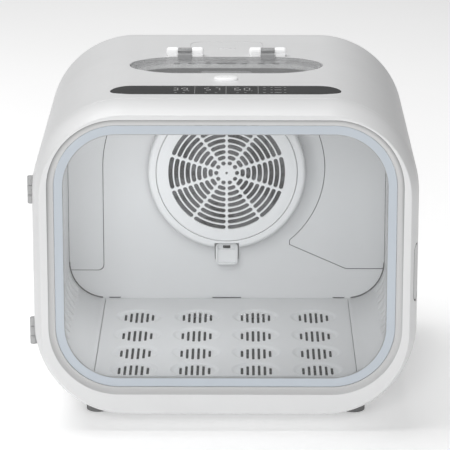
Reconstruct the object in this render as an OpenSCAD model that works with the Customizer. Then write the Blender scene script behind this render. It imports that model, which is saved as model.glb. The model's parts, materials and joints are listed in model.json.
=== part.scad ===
// Counter-top drying cabin: glazed swing door, vented lift-out floor,
// rear blower behind a round filter cover, and a smoked hatch in the top.
// Millimetres, +Z up, front faces -Y, origin on the table under the body centre.

/* [Cabinet] */
// Width of the outer shell
body_w = 487; // [484:1:500]
// Depth from the door face to the back
body_d = 476; // [470:1:500]
// Height of the shell top above the table
body_top = 424.5; // [420:0.5:440]
// Height of the shell underside above the table
foot_gap = 13.5; // [10:0.5:14]
// Corner radius of the front outline
body_r = 118; // [114:1:122]
// Fillet radius around the back edge
back_fillet = 50; // [40:1:57]
// Wall thickness of the moulded shell
shell_t = 3; // [2:0.25:4]

/* [Door] */
// Depth of the door, from the seam to its face
door_d = 46; // [42:1:50]
// How far the door outline draws in towards its face
door_flare = 11.5; // [9:0.5:15]
// Half width of the visible window
win_hx = 214.7; // [208:0.1:216]
// Width of the pale border around the clear window
band_w = 11.5; // [8:0.5:14]
// Thickness of the glass pane
glass_t = 4; // [3:0.5:5]

/* [Chamber] */
// Height of the vented floor above the table
floor_z = 58; // [56:0.5:64]
// Height of the chamber ceiling above the table
ceil_z = 396; // [392:0.5:398]
// Half width of the chamber
cab_hx = 220; // [216:0.5:222]
// Half width of the lift-out floor panel
panel_hx = 169; // [166:0.5:170]
// Diameter of each round dimple in the floor panel
dimple_d = 60; // [52:1:64]
// Width of the floor slits
slit_w = 3.4; // [2.5:0.1:4]

/* [Filter cover] */
// Height of the fan axis above the table
fan_z = 246; // [242:1:250]
// Outer radius of the round cover
cover_r = 108.5; // [105:0.5:110]
// Radius of the slotted disc inside the ring
grille_r = 96.9; // [93:0.1:97]
// Radius of the slotted field
field_r = 80.2; // [78:0.2:82]
// How far the cover stands out from the back wall
cover_d = 28; // [24:1:30]

/* [Hatch] */
// Half width of the hatch opening
hatch_hx = 127; // [122:1:130]
// Half depth of the hatch opening
hatch_hy = 50; // [46:1:52]

/* [Hidden] */
$fn = 64;
hw = body_w / 2;
yf = -body_d / 2;
yb = body_d / 2;
y_seam = yf + door_d;
y_body = y_seam + 0.5;
y_door = y_seam - 0.5;
y_wall = yb - 88;
z_split = 40;
lip_y = yf + 6;
glass_y0 = yf + 8;
glass_y1 = glass_y0 + glass_t;
win_z0 = 57.7;
win_z1 = 399.2;
win_r = 80;
bevel = 8;
glass_over = 4.8;
rebate = glass_over + 0.3;
flare_rc = (door_d * door_d + door_flare * door_flare) / (2 * door_flare);
low_r = 52;
high_r = 75;
lin_t = 2.5;
hinge_x = -(hw + 1.5);
hinge_y = y_seam;
hinge_r = 4.5;
pin_r = 1.5;
hinge_zs = [103, 289];
hinge_h = 35;
lid_y = 57.5;
lid_z = body_top + 5.9;
lid_cy = 1;
lid_gap = 0.8;
hatch_xs = 60;
hatch_re = 38;
strip_hx = 146;
strip_hy = 24;
strip_cy = -146;
btn_y = -86;
cover_y0 = y_wall - cover_d;
screw_zs = [110, 220, 330];
vent_x = [-119.2, -39.75, 39.75, 119.2];
vent_y = [-163, -92, -17, 64];
white = [0.9, 0.9, 0.91];
pale = [0.83, 0.83, 0.84];
grey = [0.62, 0.62, 0.64];
dark = [0.16, 0.16, 0.17];
steel = [0.7, 0.71, 0.73];

// ---- helpers --------------------------------------------------------------

// Front outline drawn in x and z, with its own top and bottom corner radii
module outline(hx, z0, z1, rt, rb) {
  for (s = [-1, 1]) {
    translate([s * (hx - rt), z1 - rt]) circle(rt);
    translate([s * (hx - rb), z0 + rb]) circle(rb);
  }
  translate([-hx, z0 + rb]) square([2 * hx, z1 - z0 - rt - rb]);
  translate([-(hx - rt), z1 - rt]) square([2 * (hx - rt), rt]);
  translate([-(hx - rb), z0]) square([2 * (hx - rb), rb]);
}

// Extrude a profile drawn in x and z along the depth
module along_y(y0, y1) {
  translate([0, y1, 0]) rotate([90, 0, 0]) linear_extrude(height = y1 - y0) children();
}

// Extrude a profile drawn in y and z along the width
module along_x(x0, x1) {
  translate([x0, 0, 0]) rotate([90, 0, 90]) linear_extrude(height = x1 - x0) children();
}

// Extrude a profile drawn in x and y upwards
module along_z(z0, z1) {
  translate([0, 0, z0]) linear_extrude(height = z1 - z0) children();
}

// Plan profile with both far corners rounded
module back_round(a, b, y0, y1, f) {
  translate([a, y0]) square([b - a, y1 - y0 - f]);
  translate([a + f, y0]) square([b - a - 2 * f, y1 - y0]);
  for (u = [a + f, b - f]) translate([u, y1 - f]) circle(f);
}

// Rounded block with a fillet all round its back edge
module pillow(hx, z0, z1, r, y0, y1, f) {
  for (x = [-(hx - r), hx - r]) {
    for (z = [z0 + r, z1 - r]) {
      translate([x, 0, z]) rotate([-90, 0, 0]) rotate_extrude() {
        translate([0, y0]) square([r, y1 - y0 - f]);
        translate([0, y0]) square([r - f, y1 - y0]);
        intersection() {
          translate([r - f, y1 - f]) circle(f);
          translate([0, y0]) square([r, y1 - y0]);
        }
      }
    }
  }
  along_x(-(hx - r), hx - r) mirror([1, -1, 0]) back_round(z0, z1, y0, y1, f);
  along_z(z0 + r, z1 - r) back_round(-hx, hx, y0, y1, f);
}

// Plan profile that draws in along an arc towards the front
module flare_plan(a, b, y0, y1, rc) {
  translate([a + rc, y0]) square([b - a - 2 * rc, y1 - y0]);
  intersection() {
    translate([a + rc, y1]) circle(rc);
    translate([a, y0]) square([rc, y1 - y0]);
  }
  intersection() {
    translate([b - rc, y1]) circle(rc);
    translate([b - rc, y0]) square([rc, y1 - y0]);
  }
}

// Rounded block whose outline draws in along an arc towards the front
module flare_block(hx, z0, z1, r, y0, y1, rc) {
  for (x = [-(hx - r), hx - r]) {
    for (z = [z0 + r, z1 - r]) {
      translate([x, 0, z]) rotate([-90, 0, 0]) rotate_extrude() intersection() {
        translate([r - rc, y1]) circle(rc);
        translate([0, y0]) square([r, y1 - y0]);
      }
    }
  }
  along_x(-(hx - r), hx - r) mirror([1, -1, 0]) flare_plan(z0, z1, y0, y1, rc);
  along_z(z0 + r, z1 - r) flare_plan(-hx, hx, y0, y1, rc);
}

// Rounded block that widens by g on its front side
module taper_block(hx, z0, z1, r, y0, y1, g) {
  for (x = [-(hx - r), hx - r]) {
    for (z = [z0 + r, z1 - r]) {
      translate([x, y0, z]) rotate([-90, 0, 0]) cylinder(h = y1 - y0, r1 = r + g, r2 = r);
    }
  }
  along_x(-(hx - r), hx - r)
    polygon([[y0, z0 - g], [y1, z0], [y1, z1], [y0, z1 + g]]);
  along_z(z0 + r, z1 - r)
    polygon([[-hx - g, y0], [hx + g, y0], [hx, y1], [-hx, y1]]);
}

// One arc of n steps about a centre, from just after angle a0 up to a1
function arc_pts(cx, cy, r, a0, a1, n) =
  [for (i = [1:n]) [cx + r * cos(a0 + (a1 - a0) * i / n), cy + r * sin(a0 + (a1 - a0) * i / n)]];

// Four-arc oval with a straight middle, drawn about the origin in short flats
module oval(hx, hy, xs, re) {
  big = (pow(hx - re - xs, 2) + hy * hy - re * re) / (2 * (hy - re));
  al = atan2(big - hy, hx - re - xs);
  polygon(concat(
    arc_pts(hx - re, 0, re, -al, al, 8),
    arc_pts(xs, hy - big, big, al, 90, 12),
    [[-xs, hy]],
    arc_pts(-xs, hy - big, big, 90, 180 - al, 12),
    arc_pts(re - hx, 0, re, 180 - al, 180 + al, 8),
    arc_pts(-xs, big - hy, big, 180 + al, 270, 12),
    [[xs, -hy]],
    arc_pts(xs, big - hy, big, 270, 360 - al, 12)
  ));
}

// Outline of the display lens: straight sides drawn in to rounded tips
module strip_2d(g) {
  oval(strip_hx + g, strip_hy + g, 116, 21 + g);
}

// Bar with half-round ends, long way along x
module pill(lx, ly) {
  square([lx - ly, ly], center = true);
  for (s = [-1, 1]) translate([s * (lx - ly) / 2, 0]) circle(ly / 2);
}

// Rounded rectangle about the origin
module soft_rect(lx, ly, r) {
  square([lx - 2 * r, ly], center = true);
  square([lx, ly - 2 * r], center = true);
  for (sx = [-1, 1]) for (sy = [-1, 1])
    translate([sx * (lx / 2 - r), sy * (ly / 2 - r)]) circle(r);
}

module rod_x(x0, x1, y, z, r) {
  translate([x0, y, z]) rotate([0, 90, 0]) cylinder(h = x1 - x0, r = r);
}

module rod_y(y0, y1, x, z, r) {
  translate([x, y0, z]) rotate([-90, 0, 0]) cylinder(h = y1 - y0, r = r);
}

module box(a, b) {
  translate(a) cube([b[0] - a[0], b[1] - a[1], b[2] - a[2]]);
}

// Chamber lining cross-section, g larger all round
module cab_outline(g) {
  outline(cab_hx + g, floor_z - g, ceil_z + g, high_r + g, low_r + g);
}

module cab_ring() {
  difference() {
    cab_outline(lin_t);
    cab_outline(0);
  }
}

module win_outline(g) {
  outline(win_hx + g, win_z0 - g, win_z1 + g, win_r + g, win_r + g);
}

// ---- shell ----------------------------------------------------------------

module shell_skin(z0, z1) {
  intersection() {
    difference() {
      pillow(hw, foot_gap, body_top, body_r, y_body, yb, back_fillet);
      pillow(hw - shell_t, foot_gap + shell_t, body_top - shell_t, body_r - shell_t,
             y_body - 1, yb - shell_t, back_fillet - shell_t);
    }
    box([-hw - 1, y_body - 1, z0], [hw + 1, yb + 1, z1]);
  }
}

module housing_shell() {
  color(white) difference() {
    shell_skin(z_split + 0.2, body_top + 1);
    // hatch opening
    along_z(body_top - 8, body_top + 1)
      translate([0, lid_cy]) oval(hatch_hx, hatch_hy, hatch_xs, hatch_re);
    // seat and window of the display lens
    along_z(body_top - 2.2, body_top + 1)
      translate([0, strip_cy]) strip_2d(0.3);
    along_z(body_top - 8, body_top + 1)
      translate([0, strip_cy]) strip_2d(-7);
    // lid button
    along_z(body_top - 8, body_top + 1) translate([0, btn_y]) pill(31.8, 22.8);
    // shallow seat of the rear pad
    along_z(body_top - 1.2, body_top + 1) translate([0, 110.5]) soft_rect(97.6, 73.6, 14);
    // back opening
    along_y(yb - 8, yb + 1) translate([0, 220]) soft_rect(320, 280, 20);
    for (x = [-165, 165]) for (z = screw_zs) rod_y(yb - 8, yb + 1, x, z, 1.7);
    // hinge pockets
    for (z = hinge_zs) {
      translate([hinge_x, hinge_y, z - 0.6]) cylinder(h = hinge_h + 1.2, r = hinge_r + 0.7);
      box([-hw - 1, y_body - 1, z - 0.2], [-hw + shell_t + 0.5, y_body + 18.2, z + hinge_h + 0.2]);
      box([-hw - 1, y_body - 1, z - 0.2], [-hw + 7, y_body + 4.4, z + hinge_h + 0.2]);
    }
  }
}

module base_pan() {
  color(pale) difference() {
    shell_skin(foot_gap - 1, z_split - 0.2);
    // intake slots under the plenum
    for (x = [-60:15:60]) {
      translate([x, 0, 0]) along_z(foot_gap - 1, foot_gap + 8)
        translate([0, 170]) rotate(90) pill(50, 5);
    }
  }
}

module rear_panel() {
  color(pale) difference() {
    union() {
      along_y(yb - shell_t - 0.1, yb) translate([0, 220]) soft_rect(319.2, 279.2, 19.6);
      along_y(yb - shell_t - 2, yb - shell_t) translate([0, 220]) soft_rect(338, 298, 34);
    }
    // louvres
    for (z = [215:12:323]) {
      along_y(yb - 8, yb + 1) translate([0, z]) pill(180, 5);
    }
    // inlet opening
    along_y(yb - 8, yb + 1) translate([118, 108]) soft_rect(28.4, 20.4, 2);
    // screw holes
    for (x = [-165, 165]) for (z = screw_zs) rod_y(yb - 8, yb + 1, x, z, 1.7);
  }
}

module mouth_ring() {
  color(pale) difference() {
    union() {
      along_y(y_body + 0.5, y_body + 3.5) difference() {
        outline(hw - shell_t - 0.3, foot_gap + shell_t + 0.3, body_top - shell_t - 0.3,
                body_r - shell_t - 0.3, body_r - shell_t - 0.3);
        cab_outline(0);
      }
      along_y(y_body + 3.5, y_body + 5.5) difference() {
        cab_outline(lin_t + 5);
        cab_outline(0);
      }
    }
    // seat of the door seal
    along_y(y_body - 1, y_body + 2) difference() {
      cab_outline(8.2);
      cab_outline(3.8);
    }
    // pockets of the strike plates
    for (z = [150, 290]) rod_y(y_body - 1, y_body + 2.1, 233.5, z, 4.2);
    // room for the hinge leaves
    for (z = hinge_zs)
      box([-hw, y_body - 1, z - 0.4], [-hw + 7, y_body + 10, z + hinge_h + 0.4]);
  }
}

module door_seal() {
  color(grey) along_y(y_body - 0.7, y_body + 2) difference() {
    cab_outline(8);
    cab_outline(4);
  }
}

// ---- chamber --------------------------------------------------------------

module liner_ceiling() {
  color(pale) difference() {
    along_y(y_body + 5.6, y_wall - 0.1) intersection() {
      cab_ring();
      translate([-300, 300]) square([600, 200]);
    }
    along_z(ceil_z - 2, ceil_z + 8)
      translate([0, lid_cy]) oval(hatch_hx - 3, hatch_hy - 3, hatch_xs, hatch_re - 3);
    for (x = [-9, 0, 9]) translate([x + 150, -120, ceil_z - 1]) cylinder(h = 8, r = 2);
  }
}

module side_wall(s) {
  color(pale) along_y(y_body + 5.6, y_wall - 0.1) intersection() {
    cab_ring();
    translate([s > 0 ? 150 : -350, 110.4]) square([200, 189.2]);
  }
}

module wall_left() side_wall(-1);
module wall_right() side_wall(1);

module ramp(s) {
  color(pale) difference() {
    along_y(y_body + 5.6, y_wall - 0.1) intersection() {
      cab_ring();
      translate([s > 0 ? panel_hx + 0.8 : -350, 20]) square([350 - panel_hx - 0.8, 90]);
    }
    // air slits across the curve
    for (i = [0:9]) {
      translate([s * (cab_hx - low_r), 120 - 26 * i, floor_z + low_r]) rotate([90, 0, 0])
        linear_extrude(height = 3, center = true)
          polygon([[0, 0], [s * 80, -9.5], [s * 60, -54]]);
    }
  }
}

module ramp_left() ramp(-1);
module ramp_right() ramp(1);

// Outline of the right-hand trim on the back wall: it sweeps round the fan
module trim_right_2d(g) {
  difference() {
    translate([88 + g, 101.5 + g]) square([cab_hx - 88.5 - 2 * g, 226 - 2 * g]);
    translate([0, fan_z]) circle(136 + g);
    polygon([[40, 90], [40, 157.5 + g], [166, 101.5 + g], [192, 90]]);
  }
}

module trim_left_2d(g) {
  difference() {
    union() {
      translate([-cab_hx + 0.5 + g, 107 + g]) square([cab_hx - 172.5 - 2 * g, 223 - 2 * g]);
      translate([-cab_hx + 0.5 + g, 99 + g]) square([cab_hx - 180.5 - 2 * g, 20]);
      translate([-200, fan_z]) square([56 - g, 84 - g]);
      translate([-180 - g, 107 + g]) circle(8);
    }
    translate([0, fan_z]) circle(172 + g);
  }
}

module back_wall() {
  color(pale) difference() {
    along_y(y_wall, y_wall + 3) cab_outline(lin_t);
    rod_y(y_wall - 1, y_wall + 8, 0, fan_z, 92);
    along_y(y_wall - 1, y_wall + 1.8) trim_left_2d(-1);
    along_y(y_wall - 1, y_wall + 1.8) trim_right_2d(-1);
  }
}

module back_trim_left() {
  color(pale) along_y(y_wall, y_wall + 1.8) trim_left_2d(0);
}

module back_trim_right() {
  color(pale) along_y(y_wall, y_wall + 1.8) trim_right_2d(0);
}

module floor_tray() {
  color(dark) difference() {
    box([-panel_hx - 1, y_body + 6, 26.4], [panel_hx + 1, y_wall + 3, floor_z - 4.6]);
    box([-panel_hx + 5, y_body + 12, 28.4], [panel_hx - 5, y_wall - 3, floor_z]);
    // air entry from the outlet duct
    box([-58, y_wall - 8, 28.5], [58, y_wall + 4, 46.5]);
    // side outlets to the ramps
    for (y = [-150:40:130]) box([-panel_hx - 2, y - 12, 34], [panel_hx + 2, y + 12, 46]);
  }
}

module floor_panel() {
  color(white) difference() {
    union() {
      difference() {
        along_z(floor_z - 4.2, floor_z) difference() {
          translate([-panel_hx, y_body + 6]) square([2 * panel_hx, y_wall - y_body - 7]);
          for (x = vent_x) for (y = vent_y) translate([x, y]) vent_slits();
        }
        // shallow round dimples
        for (x = vent_x) for (y = vent_y)
          translate([x, y + 1, floor_z - 1.4]) cylinder(h = 2, r1 = dimple_d / 2 - 3.5, r2 = dimple_d / 2);
      }
    }
    // finger notch at the back edge
    along_z(floor_z - 5, floor_z + 1) translate([0, y_wall - 1]) pill(50, 5);
  }
}

module vent_slits() {
  for (i = [-2.5:1:2.5]) {
    translate([i * 7.4, 0]) rotate(90) pill(48 - 3.3 * abs(i) * abs(i), slit_w);
  }
}

// ---- filter and blower ----------------------------------------------------

module slot_field() {
  difference() {
    for (k = [0:8]) {
      rr = 14.2 + k * (field_r - 2.9 - 14.2) / 8;
      difference() {
        circle(rr + 2.9);
        circle(rr - 2.9);
      }
    }
    for (a = [0:36:324]) rotate(a + 90) translate([0, -1.5]) square([field_r + 5, 3]);
  }
}

// Ring with a softly turned rim, open at the bottom for the latch tab
module cover_ring() {
  color(white) difference() {
    translate([0, y_wall - 0.3, fan_z]) rotate([90, 0, 0]) rotate_extrude() difference() {
      union() {
        square([cover_r, cover_d - 0.3 - 5]);
        square([cover_r - 5, cover_d - 0.3]);
        translate([cover_r - 5, cover_d - 5.3]) circle(5);
      }
      square([grille_r + 0.2, cover_d]);
      square([cover_r - 3, cover_d - 6]);
      square([cover_r - 6, cover_d - 3.6]);
    }
    box([-17.6, cover_y0 - 2, fan_z - cover_r - 3], [17.6, y_wall, fan_z - 90]);
  }
}

// Slotted disc held behind the ring's lip
module cover_grille() {
  color(white) difference() {
    union() {
      along_y(cover_y0, cover_y0 + 3.5) translate([0, fan_z]) circle(grille_r);
      along_y(cover_y0 + 3.5, cover_y0 + 5.5) translate([0, fan_z]) difference() {
        circle(grille_r + 2.2);
        circle(grille_r - 5);
      }
    }
    along_y(cover_y0 - 1, cover_y0 + 8) translate([0, fan_z]) slot_field();
    rod_y(cover_y0 - 1, cover_y0 + 8, 0, fan_z, 1.8);
  }
}

module filter_pad() {
  color(dark) along_y(cover_y0 + 4, cover_y0 + 11) translate([0, fan_z]) circle(90);
}

module filter_latch() {
  z0 = fan_z - 134.6;
  z1 = fan_z - 102.2;
  yc = y_wall - 18;
  color(white) difference() {
    along_y(yc, y_wall - 0.5) translate([0, (z0 + z1) / 2]) soft_rect(31, z1 - z0, 6);
    // recessed centre inside the raised frame
    along_y(yc - 1, yc + 2.2) translate([0, (z0 + z1) / 2 + 2]) soft_rect(24, z1 - z0 - 6, 3);
    // finger slot
    along_y(yc - 1, yc + 9) translate([0, z1 - 7.5]) square([10, 4], center = true);
    // hollow back
    box([-12.5, yc + 6, z0 + 3], [12.5, y_wall, z1 - 3]);
  }
}

module cover_seat() {
  color(grey) difference() {
    union() {
      along_y(y_wall - 12, y_wall - 0.02) translate([0, fan_z]) difference() {
        circle(cover_r - 6.5);
        circle(cover_r - 9.5);
      }
      along_y(y_wall - 2, y_wall - 0.02) translate([0, fan_z]) difference() {
        circle(cover_r - 8);
        circle(92);
      }
    }
  }
}

module blower_inlet() {
  color(dark) translate([0, y_wall + 3.1, fan_z]) rotate([-90, 0, 0]) rotate_extrude() {
    translate([56, 0]) square([42, 2]);
    translate([56, 2]) square([2, 6]);
  }
}

module scroll_2d(g) {
  difference() {
    union() {
      translate([0, fan_z]) circle(92 + g);
      translate([10 - g, fan_z - 104]) square([84 + 2 * g - 2, 104]);
    }
    translate([-200, fan_z - 204.2]) square([400, 100]);
  }
}

module blower_scroll() {
  ya = y_wall + 5.2;
  yz = y_wall + 52;
  color(dark) difference() {
    along_y(ya, yz) scroll_2d(2.5);
    along_y(ya + 2, yz - 2) union() {
      scroll_2d(0);
      translate([10, fan_z - 110]) square([82, 40]);
    }
    rod_y(ya - 1, ya + 4, 0, fan_z, 60);
    rod_y(yz - 4, yz + 1, 0, fan_z, 9);
  }
}

module blower_wheel() {
  ya = y_wall + 13;
  yz = y_wall + 44;
  color(grey) {
    difference() {
      union() {
        rod_y(yz - 3, yz, 0, fan_z, 76);
        rod_y(yz - 22, yz + 1, 0, fan_z, 14);
        along_y(ya, ya + 2.5) translate([0, fan_z]) difference() {
          circle(78);
          circle(63);
        }
        along_y(ya + 1, yz - 1) translate([0, fan_z]) for (a = [0:15:345])
          rotate(a) translate([70, 0]) rotate(25) square([14, 1.8], center = true);
      }
      rod_y(ya - 1, yz + 9, 0, fan_z, 4.05);
    }
  }
}

module blower_motor() {
  ya = y_wall + 52.2;
  color(steel) {
    difference() {
      rod_y(ya, ya + 26, 0, fan_z, 38);
      for (a = [45:90:315])
        rod_y(ya + 22, ya + 27, 30 * cos(a), fan_z + 30 * sin(a), 2);
    }
    rod_y(y_wall + 20, ya + 1, 0, fan_z, 4);
  }
}

module heater_frame() {
  color(grey) difference() {
    box([6, y_wall + 5.2, 108], [98, y_wall + 52, fan_z - 104.6]);
    box([12, y_wall + 9.2, 107], [92, y_wall + 48, fan_z - 104]);
  }
}

module heater_fins() {
  color(steel) {
    for (y = [y_wall + 14, y_wall + 28.6, y_wall + 43])
      box([12.2, y - 1.5, 112], [91.8, y + 1.5, 138]);
    for (x = [18:8:86]) box([x, y_wall + 10, 114], [x + 1, y_wall + 47, 136]);
  }
}

module outlet_duct() {
  color(pale) difference() {
    box([-62, y_wall + 3.2, 25], [98, y_wall + 52, 107.6]);
    box([-59.5, y_wall + 5.7, 27.5], [95.5, y_wall + 49.5, 105]);
    box([12, y_wall + 9.2, 100], [92, y_wall + 48, 110]);
    box([-58, y_wall, 28.5], [58, y_wall + 8, 46.5]);
  }
}

// ---- electronics ----------------------------------------------------------

module board(x0, x1, z0, z1, y) {
  box([x0, y, z0], [x1, y + 1.6, z1]);
}

module main_board() {
  y = y_wall + 12;
  color([0.1, 0.35, 0.2]) {
    difference() {
      board(-196, -112, 130, 260, y);
      for (x = [-190, -118]) for (z = [136, 254]) rod_y(y - 1, y + 3, x, z, 1.6);
    }
    box([-170, y + 1.6, 180], [-150, y + 4.6, 200]);
    box([-190, y + 1.6, 210], [-176, y + 9, 246]);
    box([-140, y + 1.6, 145], [-122, y + 7, 165]);
  }
}

module power_board() {
  y = y_wall + 12;
  color([0.12, 0.3, 0.22]) {
    difference() {
      board(112, 196, 130, 250, y);
      for (x = [118, 190]) for (z = [136, 244]) rod_y(y - 1, y + 3, x, z, 1.6);
    }
    rod_y(y + 1.6, y + 30, 135, 160, 9);
    rod_y(y + 1.6, y + 30, 158, 160, 9);
    box([124, y + 1.6, 190], [160, y + 28, 222]);
  }
}

module display_board() {
  color([0.1, 0.35, 0.2]) {
    box([-118, -162, body_top - 9], [118, -130, body_top - 7.4]);
    for (x = [-62, -16, 30]) box([x, -154, body_top - 7.4], [x + 26, -140, body_top - 2.8]);
  }
}

module display_lens() {
  color(dark) along_z(body_top - 2.2, body_top) translate([0, strip_cy]) strip_2d(0);
}

module climate_sensor() {
  color(white) {
    translate([150, -120, ceil_z + lin_t + 0.1]) cylinder(h = 7, r = 15);
  }
}

module inlet_socket() {
  color(dark) difference() {
    union() {
      along_y(yb - 24, yb + 0.8) translate([118, 108]) soft_rect(28, 20, 2);
      along_y(yb, yb + 0.8) translate([118, 108]) soft_rect(34, 26, 4);
    }
    along_y(yb - 18, yb + 2) translate([118, 108]) square([22, 14], center = true);
  }
}

// ---- hatch ----------------------------------------------------------------

module hatch_collar() {
  color(grey) along_z(ceil_z + lin_t + 0.1, body_top - shell_t - 0.1)
    translate([0, lid_cy]) difference() {
      oval(hatch_hx + 3, hatch_hy + 3, hatch_xs, hatch_re + 3);
      oval(hatch_hx + 0.2, hatch_hy + 0.2, hatch_xs, hatch_re + 0.2);
    }
}

module hatch_lid() {
  g = lid_gap;
  color([0.45, 0.46, 0.48, 0.6]) difference() {
    union() {
      translate([0, lid_cy, 0]) {
        along_z(body_top - 2.6, body_top + 0.4)
          oval(hatch_hx - g, hatch_hy - g, hatch_xs, hatch_re - g);
        along_z(body_top - 8, body_top - 2) difference() {
          oval(hatch_hx - g - 3, hatch_hy - g - 3, hatch_xs, hatch_re - g - 3);
          oval(hatch_hx - g - 5.5, hatch_hy - g - 5.5, hatch_xs, hatch_re - g - 5.5);
        }
      }
      // arms up to the knuckles
      for (s = [-1, 1]) {
        box([s > 0 ? 46 : -64.5, 30, body_top], [s > 0 ? 64.5 : -46, 43, body_top + 2.6]);
        along_x(s > 0 ? 46 : -64.5, s > 0 ? 64.5 : -46)
          polygon([[30, body_top], [43, body_top], [57.5, body_top + 2], [57.5, body_top + 10.5],
                   [53.5, body_top + 9.5], [42, body_top + 2.6], [30, body_top + 1.2]]);
        rod_x(s > 0 ? 46 : -64.5, s > 0 ? 64.5 : -46, lid_y, lid_z, 5);
      }
    }
    for (s = [-1, 1]) rod_x(s * 55 - 14, s * 55 + 14, lid_y, lid_z, pin_r + 0.05);
  }
}

module lid_catch() {
  color(grey) difference() {
    along_z(body_top - 13, body_top - 2.6) translate([0, -31]) soft_rect(66, 14, 6.5);
    along_z(body_top - 14, body_top - 5) translate([0, -31]) soft_rect(60, 8, 3.5);
  }
}

module hinge_posts(s) {
  color(white) {
    for (x = [[30, 45.5], [65, 80]]) {
      x0 = s > 0 ? x[0] : -x[1];
      x1 = s > 0 ? x[1] : -x[0];
      difference() {
        union() {
          rod_x(x0, x1, lid_y, lid_z, 5.8);
          box([x0 + 1, lid_y - 5, body_top], [x1 - 1, lid_y + 5, lid_z]);
        }
        rod_x(x0 - 1, x1 + 1, lid_y, lid_z, pin_r + 0.05);
      }
    }
  }
}

module lid_hinge_left() hinge_posts(-1);
module lid_hinge_right() hinge_posts(1);

module lid_pins() {
  color(steel) for (s = [-1, 1]) rod_x(s * 55 - 22, s * 55 + 22, lid_y, lid_z, pin_r);
}

module lid_button() {
  color(white) {
    along_z(body_top - 5, body_top + 4) translate([0, btn_y]) pill(31, 22);
    along_z(body_top - 5.6, body_top - 3.1) translate([0, btn_y]) pill(37, 28);
    translate([0, btn_y, body_top - 14]) cylinder(h = 9, r = 3);
  }
}

module button_spring() {
  color(steel) translate([0, btn_y, 0]) along_z(ceil_z + lin_t, body_top - 5.6)
    difference() {
      circle(5.2);
      circle(4.2);
    }
}

module rear_pad() {
  color(pale) {
    along_z(body_top - 1.2, body_top - 0.4) translate([0, 110.5]) soft_rect(97, 73, 13.7);
    along_z(body_top - 0.4, body_top + 0.6) translate([0, 104]) pill(24, 3);
  }
}

// ---- door -----------------------------------------------------------------

module door_frame() {
  color(white) difference() {
    flare_block(hw, foot_gap, body_top, body_r, yf, y_door, flare_rc);
    // hollow behind the face, leaving the wall around the pane
    difference() {
      flare_block(hw - shell_t, foot_gap + shell_t, body_top - shell_t, body_r - shell_t,
                  yf + shell_t, y_door + 1, flare_rc - shell_t);
      along_y(yf, glass_y1 + 4) win_outline(rebate + 2.8);
    }
    // window, its bevel and the rebate of the pane
    taper_block(win_hx, win_z0, win_z1, win_r, yf - 0.01, lip_y, bevel);
    along_y(yf + 1, y_door + 2) win_outline(0);
    along_y(glass_y0 - 0.2, y_door + 2) win_outline(rebate);
    // relief around both hinges
    for (z = hinge_zs) {
      translate([hinge_x, hinge_y, z - 0.6]) cylinder(h = hinge_h + 1.2, r = hinge_r + 0.7);
      box([-hw - 2, y_door - 12.4, z + 11.2], [-hw + shell_t + 0.5, y_door + 1, z + hinge_h - 11.2]);
      box([-hw - 2, y_door - 4.4, z + 11.2], [-hw + 7, y_door + 1, z + hinge_h - 11.2]);
    }
    // release button
    along_x(hw - 20, hw + 1) translate([yf + 22.5, 206]) rotate(90) pill(76.8, 23.8);
  }
}

module door_inner() {
  color(pale) difference() {
    union() {
      along_y(y_door - 3, y_door) outline(hw - shell_t - 0.4, foot_gap + shell_t + 0.4,
        body_top - shell_t - 0.4, body_r - shell_t - 0.4, body_r - shell_t - 0.4);
      along_y(glass_y1 + 0.1, y_door - 3) win_outline(3.2);
      along_y(glass_y1 + 0.1, glass_y1 + 3.1) win_outline(glass_over - 0.3);
    }
    along_y(glass_y1, y_door + 1) win_outline(0.2);
    for (z = [150, 290]) rod_y(y_door - 2.1, y_door + 1, 233.5, z, 4.1);
    for (z = hinge_zs)
      box([-hw, y_door - 10, z + 11], [-hw + 7, y_door + 2, z + hinge_h - 11]);
    for (z = hinge_zs)
      translate([hinge_x, hinge_y, z - 0.6]) cylinder(h = hinge_h + 1.2, r = hinge_r + 0.7);
  }
}

module door_glass() {
  color([0.8, 0.86, 0.9, 0.3]) along_y(glass_y0, glass_y1) win_outline(glass_over);
}

module window_band() {
  color([0.75, 0.8, 0.86]) along_y(glass_y0 - 1.4, glass_y0 - 0.1) difference() {
    win_outline(-0.6);
    win_outline(-band_w);
  }
}

module door_button() {
  color(grey) intersection() {
    union() {
      along_x(hw - 14, hw) translate([yf + 22.5, 206]) rotate(90) pill(76, 23);
      along_x(hw - 17, hw - 14) translate([yf + 22.5, 206]) rotate(90) pill(82, 29);
    }
    flare_block(hw - 0.2, foot_gap + 0.2, body_top - 0.2, body_r - 0.2, yf + 0.2, y_door,
                flare_rc - 0.2);
  }
}

module knuckle(z0, z1, s) {
  difference() {
    union() {
      translate([hinge_x, hinge_y, z0]) cylinder(h = z1 - z0, r = hinge_r);
      if (s > 0) {
        box([hinge_x, hinge_y + 1.5, z0], [-hw + 6.5, hinge_y + 4.4, z1]);
        box([-hw + 0.5, hinge_y + 1.5, z0], [-hw + shell_t, hinge_y + 18, z1]);
      }
      if (s < 0) {
        box([hinge_x, hinge_y - 4.4, z0], [-hw + 6.5, hinge_y - 1.5, z1]);
        box([-hw + 1, hinge_y - 12, z0], [-hw + shell_t, hinge_y - 1.5, z1]);
      }
    }
    translate([hinge_x, hinge_y, z0 - 1]) cylinder(h = z1 - z0 + 2, r = pin_r + 0.05);
  }
}

module body_knuckles() {
  color(grey) for (z = hinge_zs) {
    knuckle(z, z + 11, 1);
    knuckle(z + hinge_h - 11, z + hinge_h, 1);
  }
}

module door_knuckles() {
  color(grey) for (z = hinge_zs) knuckle(z + 11.4, z + hinge_h - 11.4, -1);
}

module door_pins() {
  color(steel) for (z = hinge_zs)
    translate([hinge_x, hinge_y, z + 0.5]) cylinder(h = hinge_h - 1, r = pin_r);
}

module door_magnets() {
  color(steel) for (z = [150, 290]) rod_y(y_door - 2, y_door, 233.5, z, 4);
}

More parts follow.
